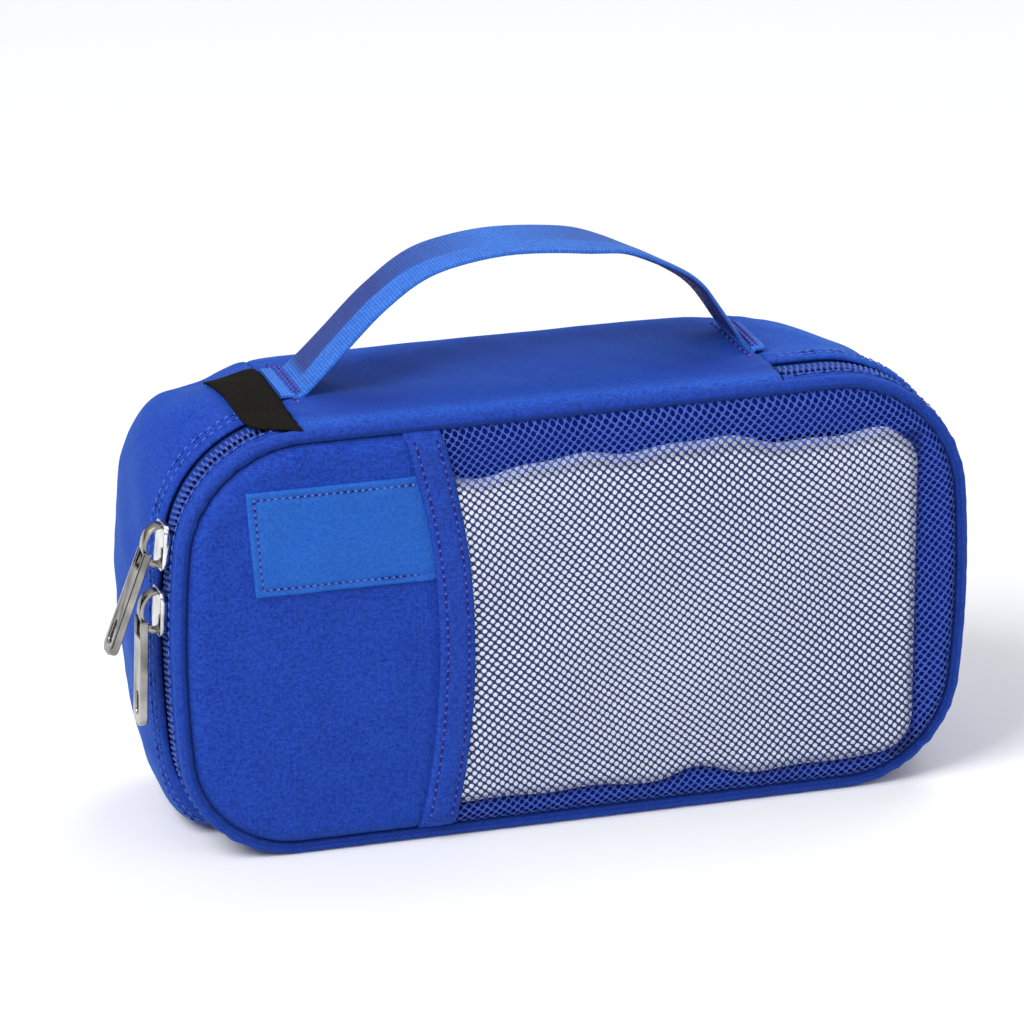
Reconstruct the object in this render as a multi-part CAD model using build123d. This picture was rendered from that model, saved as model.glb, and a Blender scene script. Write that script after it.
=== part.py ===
from build123d import *
from math import asin, atan2, cos, degrees, hypot, radians, sin, sqrt
import os

# A small zipped packing cube. +X runs along its length, the mesh front faces -Y, +Z is up.
# The origin is the middle of the underside. All sizes are in millimetres.

# Outline seen from the front: straight top and bottom, sides bowed outward, round corners.
length = 184.0
height = 99.0
depth = 60.0
side_bow_radius = 250.0
side_peak_z = 50.0
top_left_radius = 29.0
top_right_radius = 32.0
bottom_left_radius = 27.0
bottom_right_radius = 27.0

# Cloth.
fabric = 0.9
hem_depth = 3.0
hem_thickness = 0.6
rear_round = 10.0
rear_seam_back = 4.0
rear_binding_clearance = 0.1
rear_binding_depth = 2.0
rear_binding_thickness = 1.4
front_binding_clearance = 0.1
front_binding_depth = 0.6
front_binding_width = 2.6

# Piping round the front edge.
piping_radius = 1.6
piping_cover_wall = 0.5
piping_cord_clearance = 0.1

# Front panel, a shallow pillow inside the piping.
panel_proud = 1.5
panel_skin = 0.8
panel_edge_round = 3.2
panel_clearance = 0.1
trim_top_setback = 55.3
trim_middle_setback = 63.5
trim_bottom_setback = 58.3
trim_width = 8.3
trim_thickness = 0.5
patch_setback = 18.0
patch_top_drop = 12.2
patch_height = 24.2

# Soft contents pressed against the mesh.
filler_side_margin = 12.5
filler_top_margin = 12.5
filler_bottom_margin = 8.0
filler_thickness = 5.0
filler_corner_radius = 16.0
filler_clearance = 0.1

# Zip track: from the left top seam, round the left, bottom and right, to the right top seam.
zip_setback = 10.0
seam_left_setback = 30.0
seam_right_setback = 43.5
chain_gap = 1.4
coil_width = 2.2
coil_height = 1.1
coil_sunk = 0.4
tape_thickness = 0.5
tape_reach = 7.6
track_opening = 9.2
fold_gap = 1.2

# Zip sliders and their pulls.
slider_length = 10.4
slider_width = 8.0
slider_plate = 1.2
slider_lift = 0.3
slider_post_width = 0.7
slider_post_length = 3.0
slider_inner_length = 7.0
slider_inner_width = 7.0
slider_inner_plate = 1.0
slider_inner_gap = 0.75
slider_lip = 0.8
slider_lip_length = 6.6
slider_front_lip_drop = 0.45
slider_rear_lip_drop = 1.4
slider_corner = 1.8
bridge_length = 10.0
bridge_height = 4.0
bridge_wall = 0.9
bridge_width = 3.0
slider_spacing = 15.1
tab_length = 24.6
tab_thickness = 1.8
tab_top_width = 6.0
tab_bottom_width = 6.8
tab_corner = 2.4
tab_eye_length = 3.4
tab_eye_clearance = 0.4
tab_pin_radius = 0.65
tab_pin_drop = 2.3
tab_pin_lift = 1.4
tab_hole_length = 5.4
tab_hole_width = 2.6
tab_hole_margin = 2.4
tab_rest_clearance = 0.5

# Carrying handle, a webbing arch sewn down at the two top seams.
webbing_width = 19.0
webbing_thickness = 1.5
webbing_clearance = 0.1
handle_flat_left = 5.5
handle_flat_right = 4.0
handle_right_lap = 1.5
handle_left_leg = 8.5
handle_right_leg = 6.5
handle_rise = 27.5
handle_split_gap = 0.3

# Folded flag label sewn into the left top seam.
flag_width = 11.0
flag_front_setback = 1.0
flag_length = 38.0
flag_thickness = 0.6
flag_clearance = 0.3
flag_slant = 7.0
flag_fold_gap = 2.6

half_length = length / 2
y_front = -depth / 2
y_back = depth / 2
zip_y = y_front + zip_setback
seam_left_x = -half_length + seam_left_setback
seam_right_x = half_length - seam_right_setback
y_piping = y_front + piping_radius
y_rear_seam = y_back - rear_seam_back
y_panel_back = y_piping + piping_radius / 2
panel_inset = 2 * piping_radius + panel_clearance
y_lid_front = y_piping + piping_radius
y_lid_hem = y_lid_front + front_binding_clearance + front_binding_depth
y_lid_edge = zip_y - track_opening / 2
y_body_edge = zip_y + track_opening / 2
tape_inset = coil_sunk + coil_height
y_flag_front = y_front + flag_front_setback
y_flag_rear = y_flag_front + flag_length
far = 2 * (length + height + depth)


def corner(side, radius, z):
    """Centre (x, z) of a corner circle that touches the bowed side; side is -1 or 1."""
    rise = z - side_peak_z
    run = sqrt((side_bow_radius - radius) ** 2 - rise ** 2)
    return side * (half_length - side_bow_radius + run), z


side_left = (side_bow_radius - half_length, side_peak_z)
side_right = (half_length - side_bow_radius, side_peak_z)
top_left = corner(-1, top_left_radius, height - top_left_radius)
top_right = corner(1, top_right_radius, height - top_right_radius)
bottom_left = corner(-1, bottom_left_radius, bottom_left_radius)
bottom_right = corner(1, bottom_right_radius, bottom_right_radius)


def on_side(side_centre, corner_centre, inset):
    """Point where a corner circle meets the bowed side, for an outline drawn inset inside."""
    dx = corner_centre[0] - side_centre[0]
    dz = corner_centre[1] - side_centre[1]
    reach = (side_bow_radius - inset) / hypot(dx, dz)
    return side_centre[0] + dx * reach, side_centre[1] + dz * reach


def rim(inset, y):
    """Closed outline at depth y, inset inside the nominal outline."""
    def arc(start, centre, radius, end):
        mid_x = (start[0] + end[0]) / 2 - centre[0]
        mid_z = (start[1] + end[1]) / 2 - centre[1]
        reach = radius / hypot(mid_x, mid_z)
        middle = (centre[0] + mid_x * reach, centre[1] + mid_z * reach)
        points = [Vector(x, y, z) for x, z in (start, middle, end)]
        return Edge.make_three_point_arc(*points)

    def line(start, end):
        return Edge.make_line(Vector(start[0], y, start[1]), Vector(end[0], y, end[1]))

    low, high = inset, height - inset
    right_low = on_side(side_right, bottom_right, inset)
    right_high = on_side(side_right, top_right, inset)
    left_low = on_side(side_left, bottom_left, inset)
    left_high = on_side(side_left, top_left, inset)
    bow = side_bow_radius - inset
    return Wire([
        line((bottom_left[0], low), (bottom_right[0], low)),
        arc((bottom_right[0], low), bottom_right, bottom_right_radius - inset, right_low),
        arc(right_low, side_right, bow, right_high),
        arc(right_high, top_right, top_right_radius - inset, (top_right[0], high)),
        line((top_right[0], high), (top_left[0], high)),
        arc((top_left[0], high), top_left, top_left_radius - inset, left_high),
        arc(left_high, side_left, bow, left_low),
        arc(left_low, bottom_left, bottom_left_radius - inset, (bottom_left[0], low)),
    ])


def slab(inset, front, back):
    """Solid of the outline between two depths."""
    return extrude(Face(rim(inset, back)), amount=back - front, dir=(0, -1, 0))


def ring(outer, inner, front, back):
    """Wall between two insets of the outline, from one depth to another."""
    return slab(outer, front, back) - slab(inner, front - fabric, back + fabric)


def block(x, y, z):
    """Box from its lowest and highest x, y and z."""
    centre = [(low + high) / 2 for low, high in (x, y, z)]
    size = [high - low for low, high in (x, y, z)]
    return Pos(*centre) * Box(*size)


def pillow(inset, front, back, rounding, at_front):
    """Solid of the outline with its front or rear edge rounded."""
    solid = slab(inset, front, back)
    face = solid.faces().sort_by(Axis.Y)[0 if at_front else -1]
    return fillet(face.edges(), rounding)


def between_seams():
    """Space over the top panel, from one top seam to the other."""
    return block((seam_left_x, seam_right_x), (-far, far), (height - 2 * rear_round, far))


def whole(shape):
    """The single solid that a shape holds."""
    return shape.solids().sort_by(SortBy.VOLUME)[-1]


def shell_body():
    """Rear part of the case: back panel, side gusset and top panel."""
    outer = pillow(0, y_body_edge, y_back, rear_round, False)
    inner = pillow(fabric, y_body_edge - fabric, y_back - fabric, rear_round - fabric, False)
    case = outer - inner
    behind_seam = block((-far, far), (y_rear_seam, far), (-far, far))
    back_panel = case & behind_seam
    sides = case - behind_seam
    hem = ring(fabric, fabric + hem_thickness, y_body_edge, y_body_edge + hem_depth)
    side_gusset = sides - between_seams() + (hem - between_seams())
    top_strip = ring(0, fabric, zip_y + fold_gap / 2, y_body_edge)
    top_panel = (sides + top_strip) & between_seams()
    inner_round = rear_round - fabric
    seam_inset = rear_round - sqrt(inner_round ** 2 - (rear_round - rear_seam_back) ** 2)
    binding_inset = seam_inset + rear_binding_clearance
    binding = ring(binding_inset, binding_inset + rear_binding_thickness,
                   y_rear_seam - rear_binding_depth, y_rear_seam)
    return {"back_panel": back_panel, "side_gusset": side_gusset,
            "top_panel": top_panel, "rear_seam_binding": binding}


def zip_track():
    """Tapes and coils, one pair on the lid side and one on the body side of the gap."""
    parts = {}
    for name, side, tape_edge in (("front", -1, y_lid_hem), ("rear", 1, zip_y + tape_reach)):
        inner_edge = zip_y + side * chain_gap / 2
        tape = ring(tape_inset, tape_inset + tape_thickness, *sorted((inner_edge, tape_edge)))
        coil_edge = inner_edge + side * coil_width
        coil = ring(coil_sunk, tape_inset, *sorted((inner_edge, coil_edge)))
        parts["zip_tape_" + name] = tape - between_seams()
        parts["zip_coil_" + name] = coil - between_seams()
    return parts


def trim_circle():
    """Centre (x, z) and radius of the arc that divides cloth from mesh."""
    x1, z1 = trim_top_setback - half_length, height
    x2, z2 = trim_middle_setback - half_length, height / 2
    x3, z3 = trim_bottom_setback - half_length, 0.0
    d = 2 * (x1 * (z2 - z3) + x2 * (z3 - z1) + x3 * (z1 - z2))
    s1, s2, s3 = x1 * x1 + z1 * z1, x2 * x2 + z2 * z2, x3 * x3 + z3 * z3
    cx = (s1 * (z2 - z3) + s2 * (z3 - z1) + s3 * (z1 - z2)) / d
    cz = (s1 * (x3 - x2) + s2 * (x1 - x3) + s3 * (x2 - x1)) / d
    return cx, cz, hypot(x1 - cx, z1 - cz)


def trim_drum(grow):
    """Solid drum along Y whose rim is the dividing arc, grown by an amount."""
    cx, cz, radius = trim_circle()
    return Pos(cx, 0, cz) * Rot(90, 0, 0) * Cylinder(radius + grow, 4 * depth)


def lid_front():
    """Cloth panel, mesh window, the band over their seam, the patch, and the filler."""
    face_y = y_front - panel_proud
    outer = pillow(panel_inset, face_y, y_panel_back, panel_edge_round, True)
    inner = pillow(panel_inset + panel_skin, face_y + panel_skin, y_panel_back + panel_skin,
                   panel_edge_round - panel_skin, True)
    skin = outer - inner
    layer = Pos(0, -trim_thickness, 0) * outer - outer
    band = layer & (trim_drum(trim_width / 2) - trim_drum(-trim_width / 2))
    patch_top = height - patch_top_drop
    patch_zone = block((patch_setback - half_length, 0), (-far, far),
                       (patch_top - patch_height, patch_top))
    patch = layer & patch_zone & trim_drum(-trim_width / 2)
    pad_x = half_length - filler_side_margin
    pad_y = face_y + panel_skin + filler_clearance
    pad = block((-pad_x, pad_x), (pad_y, pad_y + filler_thickness),
                (filler_bottom_margin, height - filler_top_margin))
    pad = fillet(pad.edges().filter_by(Axis.Y), filler_corner_radius)
    return {"front_fabric_panel": skin & trim_drum(0), "mesh_window": skin - trim_drum(0),
            "window_trim": band, "blank_patch": patch, "filler_pad": pad}


def lid_rim():
    """Piping, the lid's strip of gusset, its part of the top panel, and the seam binding."""
    path = rim(piping_radius, y_piping)
    start = Plane(origin=(bottom_left[0], y_piping, piping_radius), z_dir=(1, 0, 0))

    def tube(radius):
        return sweep(start * Circle(radius), path=path)

    bore = piping_radius - piping_cover_wall
    cover = tube(piping_radius) - tube(bore)
    cord = tube(bore - piping_cord_clearance)
    strip = ring(0, fabric, y_lid_front, y_lid_edge)
    hem = ring(fabric, fabric + hem_thickness, y_lid_hem, y_lid_edge)
    top_strip = ring(0, fabric, y_lid_front, zip_y - fold_gap / 2) & between_seams()
    binding_inset = fabric + front_binding_clearance
    binding = ring(binding_inset, binding_inset + front_binding_width,
                   y_lid_front + front_binding_clearance, y_lid_hem)
    return {"piping_cover": cover, "piping_cord": cord,
            "lid_gusset": strip + hem - between_seams(),
            "lid_top_strip": top_strip, "front_seam_binding": binding}


def slider_parts(flip):
    """Slider body and bridge on the zip, -X outward and +Z along the track."""
    top = -(slider_lift + slider_plate)
    half_width = slider_width / 2
    plate = block((top, -slider_lift), (-half_width, half_width),
                  (-slider_length / 2, slider_length / 2))
    plate = fillet(plate.edges().filter_by(Axis.X), slider_corner)
    inner_face = tape_inset + tape_thickness + slider_inner_gap
    post = block((-slider_lift, inner_face), (-slider_post_width / 2, slider_post_width / 2),
                 (-slider_post_length / 2, slider_post_length / 2))
    inner = block((inner_face, inner_face + slider_inner_plate),
                  (-slider_inner_width / 2, slider_inner_width / 2),
                  (-slider_inner_length / 2, slider_inner_length / 2))
    inner = fillet(inner.edges().filter_by(Axis.X), slider_corner)
    lip_z = sorted((flip * (slider_length / 2 - slider_corner),
                    flip * (slider_length / 2 - slider_corner - slider_lip_length)))
    front_lip = block((-slider_lift, slider_front_lip_drop - slider_lift),
                      (-half_width, slider_lip - half_width), lip_z)
    rear_lip = block((-slider_lift, slider_rear_lip_drop - slider_lift),
                     (half_width - slider_lip, half_width), lip_z)
    body = plate + post + inner + front_lip + rear_lip

    arch = Ellipse(bridge_length / 2, bridge_height)
    arch -= Ellipse(bridge_length / 2 - bridge_wall, bridge_height - bridge_wall)
    arch &= Pos(0, bridge_height) * Rectangle(2 * bridge_length, 2 * bridge_height)
    place = Plane(origin=(top, bridge_width / 2, 0), x_dir=(0, 0, 1), z_dir=(0, -1, 0))
    bridge = extrude(place * arch, amount=bridge_width)
    return whole(body), bridge


def pull_tab():
    """Flat pull hanging down -Z from the pin in its eye, which lies along Y at the origin."""
    half = tab_thickness / 2
    top, bottom = tab_pin_radius, tab_pin_radius - tab_length
    outline = Polygon((-tab_top_width / 2, top), (tab_top_width / 2, top),
                      (tab_bottom_width / 2, bottom), (-tab_bottom_width / 2, bottom),
                      align=None)
    ends = outline.vertices().sort_by(Axis.Y)[:2]
    outline = fillet(ends, tab_corner)
    eye_width = bridge_width + 2 * tab_eye_clearance
    outline -= Pos(0, tab_pin_radius - tab_eye_length / 2) * Rectangle(
        eye_width, tab_eye_length + 2 * tab_pin_radius)
    outline -= Pos(0, bottom + tab_hole_margin + tab_hole_length / 2) * Rot(0, 0, 90) * \
        SlotOverall(tab_hole_length, tab_hole_width)
    place = Plane(origin=(-half, 0, 0), x_dir=(0, 1, 0), z_dir=(1, 0, 0))
    bar = extrude(place * outline, amount=tab_thickness)
    pin = Rot(90, 0, 0) * Cylinder(tab_pin_radius, eye_width + tab_pin_radius)
    return whole(bar + pin)


def on_track(centre, radius, angle):
    """Place on the zip whose outward direction is angle degrees above -X."""
    x = centre[0] - radius * cos(radians(angle))
    z = centre[1] + radius * sin(radians(angle))
    return Pos(x, zip_y, z) * Rot(0, angle, 0)


def world(place, outward, along):
    """Point (x, z) that lies outward of and along the track from a place on it."""
    point = (place * Pos(-outward, 0, along)).position
    return point.X, point.Z


def sliders():
    """Both sliders with their pulls; the upper pull leans on the lower slider's bridge."""
    upper_z = on_side(side_left, top_left, 0)[1]
    lower_z = upper_z - slider_spacing
    upper_angle = degrees(asin((upper_z - side_peak_z) / side_bow_radius))
    lower_angle = degrees(asin((lower_z - side_peak_z) / side_bow_radius))
    upper = on_track(top_left, top_left_radius, upper_angle)
    lower = on_track(side_left, side_bow_radius, lower_angle)
    plate_top = slider_lift + slider_plate
    pin = Pos(-(plate_top + tab_pin_lift), 0, -tab_pin_drop)
    pin_x, pin_z = world(upper, plate_top + tab_pin_lift, -tab_pin_drop)
    crown_x, crown_z = world(lower, plate_top + bridge_height, 0)
    reach = hypot(pin_x - crown_x, pin_z - crown_z)
    lean = degrees(atan2(pin_x - crown_x, pin_z - crown_z)
                   + asin((tab_thickness / 2 + tab_rest_clearance) / reach))
    lean -= upper_angle

    parts = {}
    body, bridge = slider_parts(1)
    parts["upper_slider_body"] = upper * body
    parts["upper_slider_bridge"] = upper * bridge
    parts["upper_pull_tab"] = upper * pin * Rot(0, lean, 0) * pull_tab()
    body, bridge = slider_parts(-1)
    parts["lower_slider_body"] = lower * body
    parts["lower_slider_bridge"] = lower * bridge
    parts["lower_pull_tab"] = lower * pin * pull_tab()
    return parts


def handle_parts():
    """Webbing arch and its two sewn ends, cut apart where the webbing starts to bend."""
    # Underside of the arch: share of the span from foot to foot, share of the rise.
    curve = [(0.0, 0.0), (0.083, 0.327), (0.18, 0.674), (0.278, 0.895), (0.415, 1.0),
             (0.541, 1.0), (0.688, 0.923), (0.779, 0.793), (0.871, 0.602), (0.927, 0.396),
             (1.0, 0.0)]
    base = height + webbing_clearance
    top = base + webbing_thickness
    left_foot = seam_left_x + handle_flat_left
    right_end = seam_right_x + handle_right_lap
    right_foot = right_end - handle_flat_right
    span = right_foot - left_foot
    low = [(left_foot + s * span, base + r * handle_rise) for s, r in curve]
    high = []
    for i, (x, z) in enumerate(low):
        before, after = low[max(i - 1, 0)], low[min(i + 1, len(low) - 1)]
        dx, dz = after[0] - before[0], after[1] - before[1]
        reach = webbing_thickness / hypot(dx, dz)
        high.append((x - dz * reach, z + dx * reach))
    high[0] = (high[0][0], top)
    high[-1] = (high[-1][0], top)
    with BuildSketch(Plane.XZ) as profile:
        with BuildLine():
            Spline(*low)
            Polyline(low[-1], (right_end, base), (right_end, top), high[-1])
            Spline(*reversed(high))
            Polyline(high[0], (seam_left_x, top), (seam_left_x, base), low[0])
        make_face()
    web = extrude(profile.sketch, amount=webbing_width / 2, both=True)
    left_split = left_foot + handle_left_leg
    right_split = right_foot - handle_right_leg
    gap = handle_split_gap / 2
    left_zone = block((-far, left_split - gap), (-far, far), (-far, far))
    right_zone = block((right_split + gap, far), (-far, far), (-far, far))
    arch_zone = block((left_split + gap, right_split - gap), (-far, far), (-far, far))
    return {"handle_end_left": web & left_zone, "handle_end_right": web & right_zone,
            "handle_strap": web & arch_zone}


def flag_parts():
    """Label over the left end of the zip, in two pieces either side of the lid's fold."""
    layer = ring(-flag_clearance - flag_thickness, -flag_clearance, y_flag_front, y_flag_rear)
    right_x = seam_left_x - flag_clearance
    left_x = right_x - flag_width
    shape = Polygon((right_x, y_flag_front), (right_x, y_flag_rear), (left_x, y_flag_rear),
                    (left_x, y_flag_front + flag_slant), align=None)
    zone = Pos(0, 0, height / 2) * extrude(shape, amount=height)
    label = layer & zone
    rear = block((-far, far), (zip_y + fold_gap / 2, far), (-far, far))
    tip = block((-far, far), (-far, zip_y - flag_fold_gap), (-far, far))
    return {"flag_label": label & rear, "flag_label_tip": label & tip}


nodes = {}
for group in (shell_body, zip_track, lid_front, lid_rim, sliders, handle_parts, flag_parts):
    nodes.update(group())

os.makedirs("parts", exist_ok=True)
for name, shape in nodes.items():
    export_step(shape, os.path.join("parts", name + ".step"))
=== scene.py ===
# A small zipped packing cube: nylon cloth over a soft rounded box, a mesh window in its piped
# front lid, a coil zip with two sliders round three sides, and a webbing handle on top.
# +X runs along its length, the front faces -Y, +Z is up, and lengths are metres.
from math import asin, cos, hypot, pi, radians, sin, sqrt
import bmesh
import bpy
import numpy as np
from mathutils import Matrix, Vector


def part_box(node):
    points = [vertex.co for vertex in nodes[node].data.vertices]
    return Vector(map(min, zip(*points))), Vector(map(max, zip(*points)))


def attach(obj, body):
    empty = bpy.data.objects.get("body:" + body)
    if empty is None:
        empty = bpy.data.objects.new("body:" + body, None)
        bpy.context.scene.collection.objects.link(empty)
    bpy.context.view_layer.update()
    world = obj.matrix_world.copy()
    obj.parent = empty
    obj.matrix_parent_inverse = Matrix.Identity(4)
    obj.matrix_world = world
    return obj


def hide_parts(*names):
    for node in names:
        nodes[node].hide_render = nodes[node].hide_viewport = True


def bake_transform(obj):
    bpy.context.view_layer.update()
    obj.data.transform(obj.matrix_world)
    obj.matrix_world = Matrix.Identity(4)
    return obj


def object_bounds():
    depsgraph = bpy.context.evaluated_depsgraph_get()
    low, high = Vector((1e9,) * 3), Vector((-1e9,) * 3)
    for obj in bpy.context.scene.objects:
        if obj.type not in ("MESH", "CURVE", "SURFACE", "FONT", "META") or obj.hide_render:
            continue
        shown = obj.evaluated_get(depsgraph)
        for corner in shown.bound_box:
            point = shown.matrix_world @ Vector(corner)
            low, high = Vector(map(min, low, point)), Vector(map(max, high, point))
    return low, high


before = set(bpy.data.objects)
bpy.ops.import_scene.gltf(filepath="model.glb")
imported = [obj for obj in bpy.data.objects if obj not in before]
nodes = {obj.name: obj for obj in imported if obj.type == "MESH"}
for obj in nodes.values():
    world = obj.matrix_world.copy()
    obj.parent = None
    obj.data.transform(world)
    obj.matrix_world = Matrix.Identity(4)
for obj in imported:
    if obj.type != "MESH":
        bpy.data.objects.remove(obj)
cad_box = [list(corner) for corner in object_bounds()]


# ----------------------------------------------------------------------
# Studio. A wide pale floor under a plain white surround, one large soft lamp from the upper
# left, a weaker one from the right and one from behind, and a long lens from the front left.
scene = bpy.context.scene
scene.view_settings.view_transform = "Standard"
aim = np.mean(cad_box, axis=0)


def look_from(thing, azimuth, elevation, distance):
    """Puts a camera or lamp on a line from the object's middle, facing it.

    Azimuth 0 is -Y and 90 is +X, in degrees."""
    a, e = radians(azimuth), radians(elevation)
    back = np.array([sin(a) * cos(e), -cos(a) * cos(e), sin(e)])
    thing.location = aim + back * distance
    thing.rotation_euler = Vector(-back).to_track_quat("-Z", "Y").to_euler()


camera = bpy.data.objects.new("camera", bpy.data.cameras.new("camera"))
scene.collection.objects.link(camera)
scene.camera = camera
camera_distance = 1.5
field_width = 0.229
look_from(camera, azimuth=-17.0, elevation=20.5, distance=camera_distance)
camera.data.sensor_width = 36.0
camera.data.lens = camera.data.sensor_width * camera_distance / field_width
camera.data.clip_start = 0.05


def soft_lamp(name, azimuth, elevation, distance, size, power):
    """Square lamp of a size in metres and a power in watts."""
    lamp = bpy.data.objects.new(name, bpy.data.lights.new(name, "AREA"))
    scene.collection.objects.link(lamp)
    lamp.data.size = size
    lamp.data.energy = power
    look_from(lamp, azimuth, elevation, distance)


soft_lamp("key_lamp", -60, 46, distance=1.5, size=0.8, power=20.0)
soft_lamp("fill_lamp", 30, 25, distance=1.7, size=1.1, power=4.5)
soft_lamp("back_lamp", 135, 55, distance=1.6, size=0.8, power=7.0)


class Wiring:
    """Short way to write shader node networks.

    add, put and fill make a node, set one of its inputs and set several. Each of the others
    adds one node and returns what it puts out."""

    def __init__(self, tree):
        self.tree = tree

    def add(self, kind):
        return self.tree.nodes.new("ShaderNode" + kind)

    def put(self, node, socket, value):
        """Sets a node's input, or links it where the value is another node's output."""
        if hasattr(value, "is_output"):
            self.tree.links.new(value, node.inputs[socket])
        else:
            node.inputs[socket].default_value = value

    def fill(self, node, values):
        for socket, value in (values.items() if isinstance(values, dict) else enumerate(values)):
            if value is not None:
                self.put(node, socket, value)
        return node.outputs

    def math(self, operation, a, b=None, c=None):
        node = self.add("Math")
        node.operation = operation
        return self.fill(node, (a, b, c))[0]

    def scale(self, vector, factors):
        node = self.add("VectorMath")
        node.operation = "MULTIPLY"
        return self.fill(node, (vector, factors))[0]

    def split(self, vector):
        return self.fill(self.add("SeparateXYZ"), (vector,))

    def noise(self, vector, scale, detail=2.0, roughness=0.5):
        return self.fill(self.add("TexNoise"), {"Vector": vector, "Scale": scale, "Detail": detail,
                                                "Roughness": roughness})["Fac"]

    def remap(self, value, low, high, to_low, to_high):
        return self.fill(self.add("MapRange"), (value, low, high, to_low, to_high))[0]

    def mix(self, share, a, b):
        """Colour between a and b, which are colours without alpha or outputs."""
        node = self.add("Mix")
        node.data_type = "RGBA"
        a, b = (value if hasattr(value, "is_output") else (*value, 1) for value in (a, b))
        return self.fill(node, {"Factor": share, 6: a, 7: b})[2]

    def group(self, tree, values):
        node = self.add("Group")
        node.node_tree = tree
        return self.fill(node, values)

    def bump(self, height, strength, distance):
        return self.fill(self.add("Bump"), {"Height": height, "Strength": strength,
                                            "Distance": distance})[0]

    def place(self):
        """Object coordinates, in metres."""
        return self.add("TexCoord").outputs["Object"]

    def seen(self):
        """1 for rays from the eye and from shiny surfaces, 0 for those that only carry light."""
        rays = self.add("LightPath").outputs
        return self.math("MAXIMUM", rays["Is Camera Ray"], rays["Is Glossy Ray"])


world = bpy.data.worlds.new("surround")
scene.world = world
world.use_nodes = True
w = Wiring(world.node_tree)
lighting = world.node_tree.nodes["Background"]
w.fill(lighting, {"Color": (0.92, 0.94, 1.0, 1), "Strength": 0.45})
up = w.split(w.add("TexCoord").outputs["Generated"])["Z"]
mirrored = w.remap(up, 0.0, 0.5, 0.04, 1.0)
to_eye = w.add("LightPath").outputs["Is Camera Ray"]
white = w.fill(w.add("Background"), {"Color": (1, 1, 1, 1),
                                     "Strength": w.math("MAXIMUM", mirrored, to_eye)})[0]
choice = w.fill(w.add("MixShader"), (w.seen(), lighting.outputs[0], white))[0]
w.put(world.node_tree.nodes["World Output"], "Surface", choice)

mm = 0.001


def new_object(name, points, *faces, weave=None):
    """Smooth mesh at the origin from points and from arrays of faces with equal corners.

    weave gives each point's place on the cloth, kept as a UV map in millimetres."""
    mesh = bpy.data.meshes.new(name)
    corners = [face for part in faces for face in part.tolist()]
    mesh.from_pydata(points.reshape(-1, 3).tolist(), [], corners)
    mesh.polygons.foreach_set("use_smooth", np.ones(len(corners), bool))
    if weave is not None:
        loops = np.zeros(len(mesh.loops), np.int32)
        mesh.loops.foreach_get("vertex_index", loops)
        flat = (weave.reshape(-1, 2) / mm)[loops].astype(np.float32)
        mesh.uv_layers.new(name="weave").data.foreach_set("uv", flat.ravel())
    made = bpy.data.objects.new(name, mesh)
    scene.collection.objects.link(made)
    return made


def new_material(name):
    """Material, its wiring and its shader."""
    made = bpy.data.materials.new(name)
    made.use_nodes = True
    return made, Wiring(made.node_tree), made.node_tree.nodes["Principled BSDF"]


floor_reach = 4.0
floor_corners = np.array([(-1, -1, 0), (1, -1, 0), (1, 1, 0), (-1, 1, 0)])
floor = new_object("floor", floor_corners * floor_reach, np.array([[0, 1, 2, 3]]))
floor_paint, w, shader = new_material("floor_paint")
w.fill(shader, {"Roughness": 0.8,
                "Base Color": w.mix(w.seen(), (0.72, 0.72, 0.74), (0.95, 0.95, 0.95))})
floor.data.materials.append(floor_paint)


# ----------------------------------------------------------------------
# Outline of the case seen from the front, which every sewn ring follows: straight top and
# bottom, sides that are arcs bowed outward, and four corner arcs that touch both neighbours.
piping_low, piping_high = np.array(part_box("piping_cover"))
half_length = piping_high[0]
height = piping_high[2]
side_radius = 250 * mm
side_peak = 50 * mm
corner_radii = {"top_left": 29 * mm, "bottom_left": 27 * mm,
                "bottom_right": 27 * mm, "top_right": 32 * mm}


def outline_pieces():
    """Rows of length, centre x and z, radius, start angle, turn, and run along x.

    The order is from the middle of the top to the left, down, along the bottom and back up."""
    rows = []
    centres = {}
    for name, radius in corner_radii.items():
        side = -1 if name.endswith("left") else 1
        z = height - radius if name.startswith("top") else radius
        run = sqrt((side_radius - radius) ** 2 - (z - side_peak) ** 2)
        centres[name] = (side * (half_length - side_radius + run), z, radius,
                         asin((z - side_peak) / (side_radius - radius)))
    left_top, left_low = centres["top_left"], centres["bottom_left"]
    right_low, right_top = centres["bottom_right"], centres["top_right"]
    bow_x = side_radius - half_length

    def arc(x, z, radius, start, end):
        rows.append((radius * abs(end - start), x, z, radius, start, end - start, 0))

    def line(x, z, angle, run):
        rows.append((abs(run), x, z, 0, angle, 0, run))

    line(0, height, pi / 2, left_top[0])
    arc(*left_top[:3], pi / 2, pi - left_top[3])
    arc(bow_x, side_peak, side_radius, pi - left_top[3], pi - left_low[3])
    arc(*left_low[:3], pi - left_low[3], 1.5 * pi)
    line(left_low[0], 0, 1.5 * pi, right_low[0] - left_low[0])
    arc(*right_low[:3], 1.5 * pi, 2 * pi + right_low[3])
    arc(-bow_x, side_peak, side_radius, 2 * pi + right_low[3], 2 * pi + right_top[3])
    arc(*right_top[:3], 2 * pi + right_top[3], 2.5 * pi)
    line(right_top[0], height, pi / 2, -right_top[0])
    return np.array(rows), centres


outline_rows, corner_centres = outline_pieces()
outline_ends = np.cumsum(outline_rows[:, 0])
perimeter = outline_ends[-1]


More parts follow.
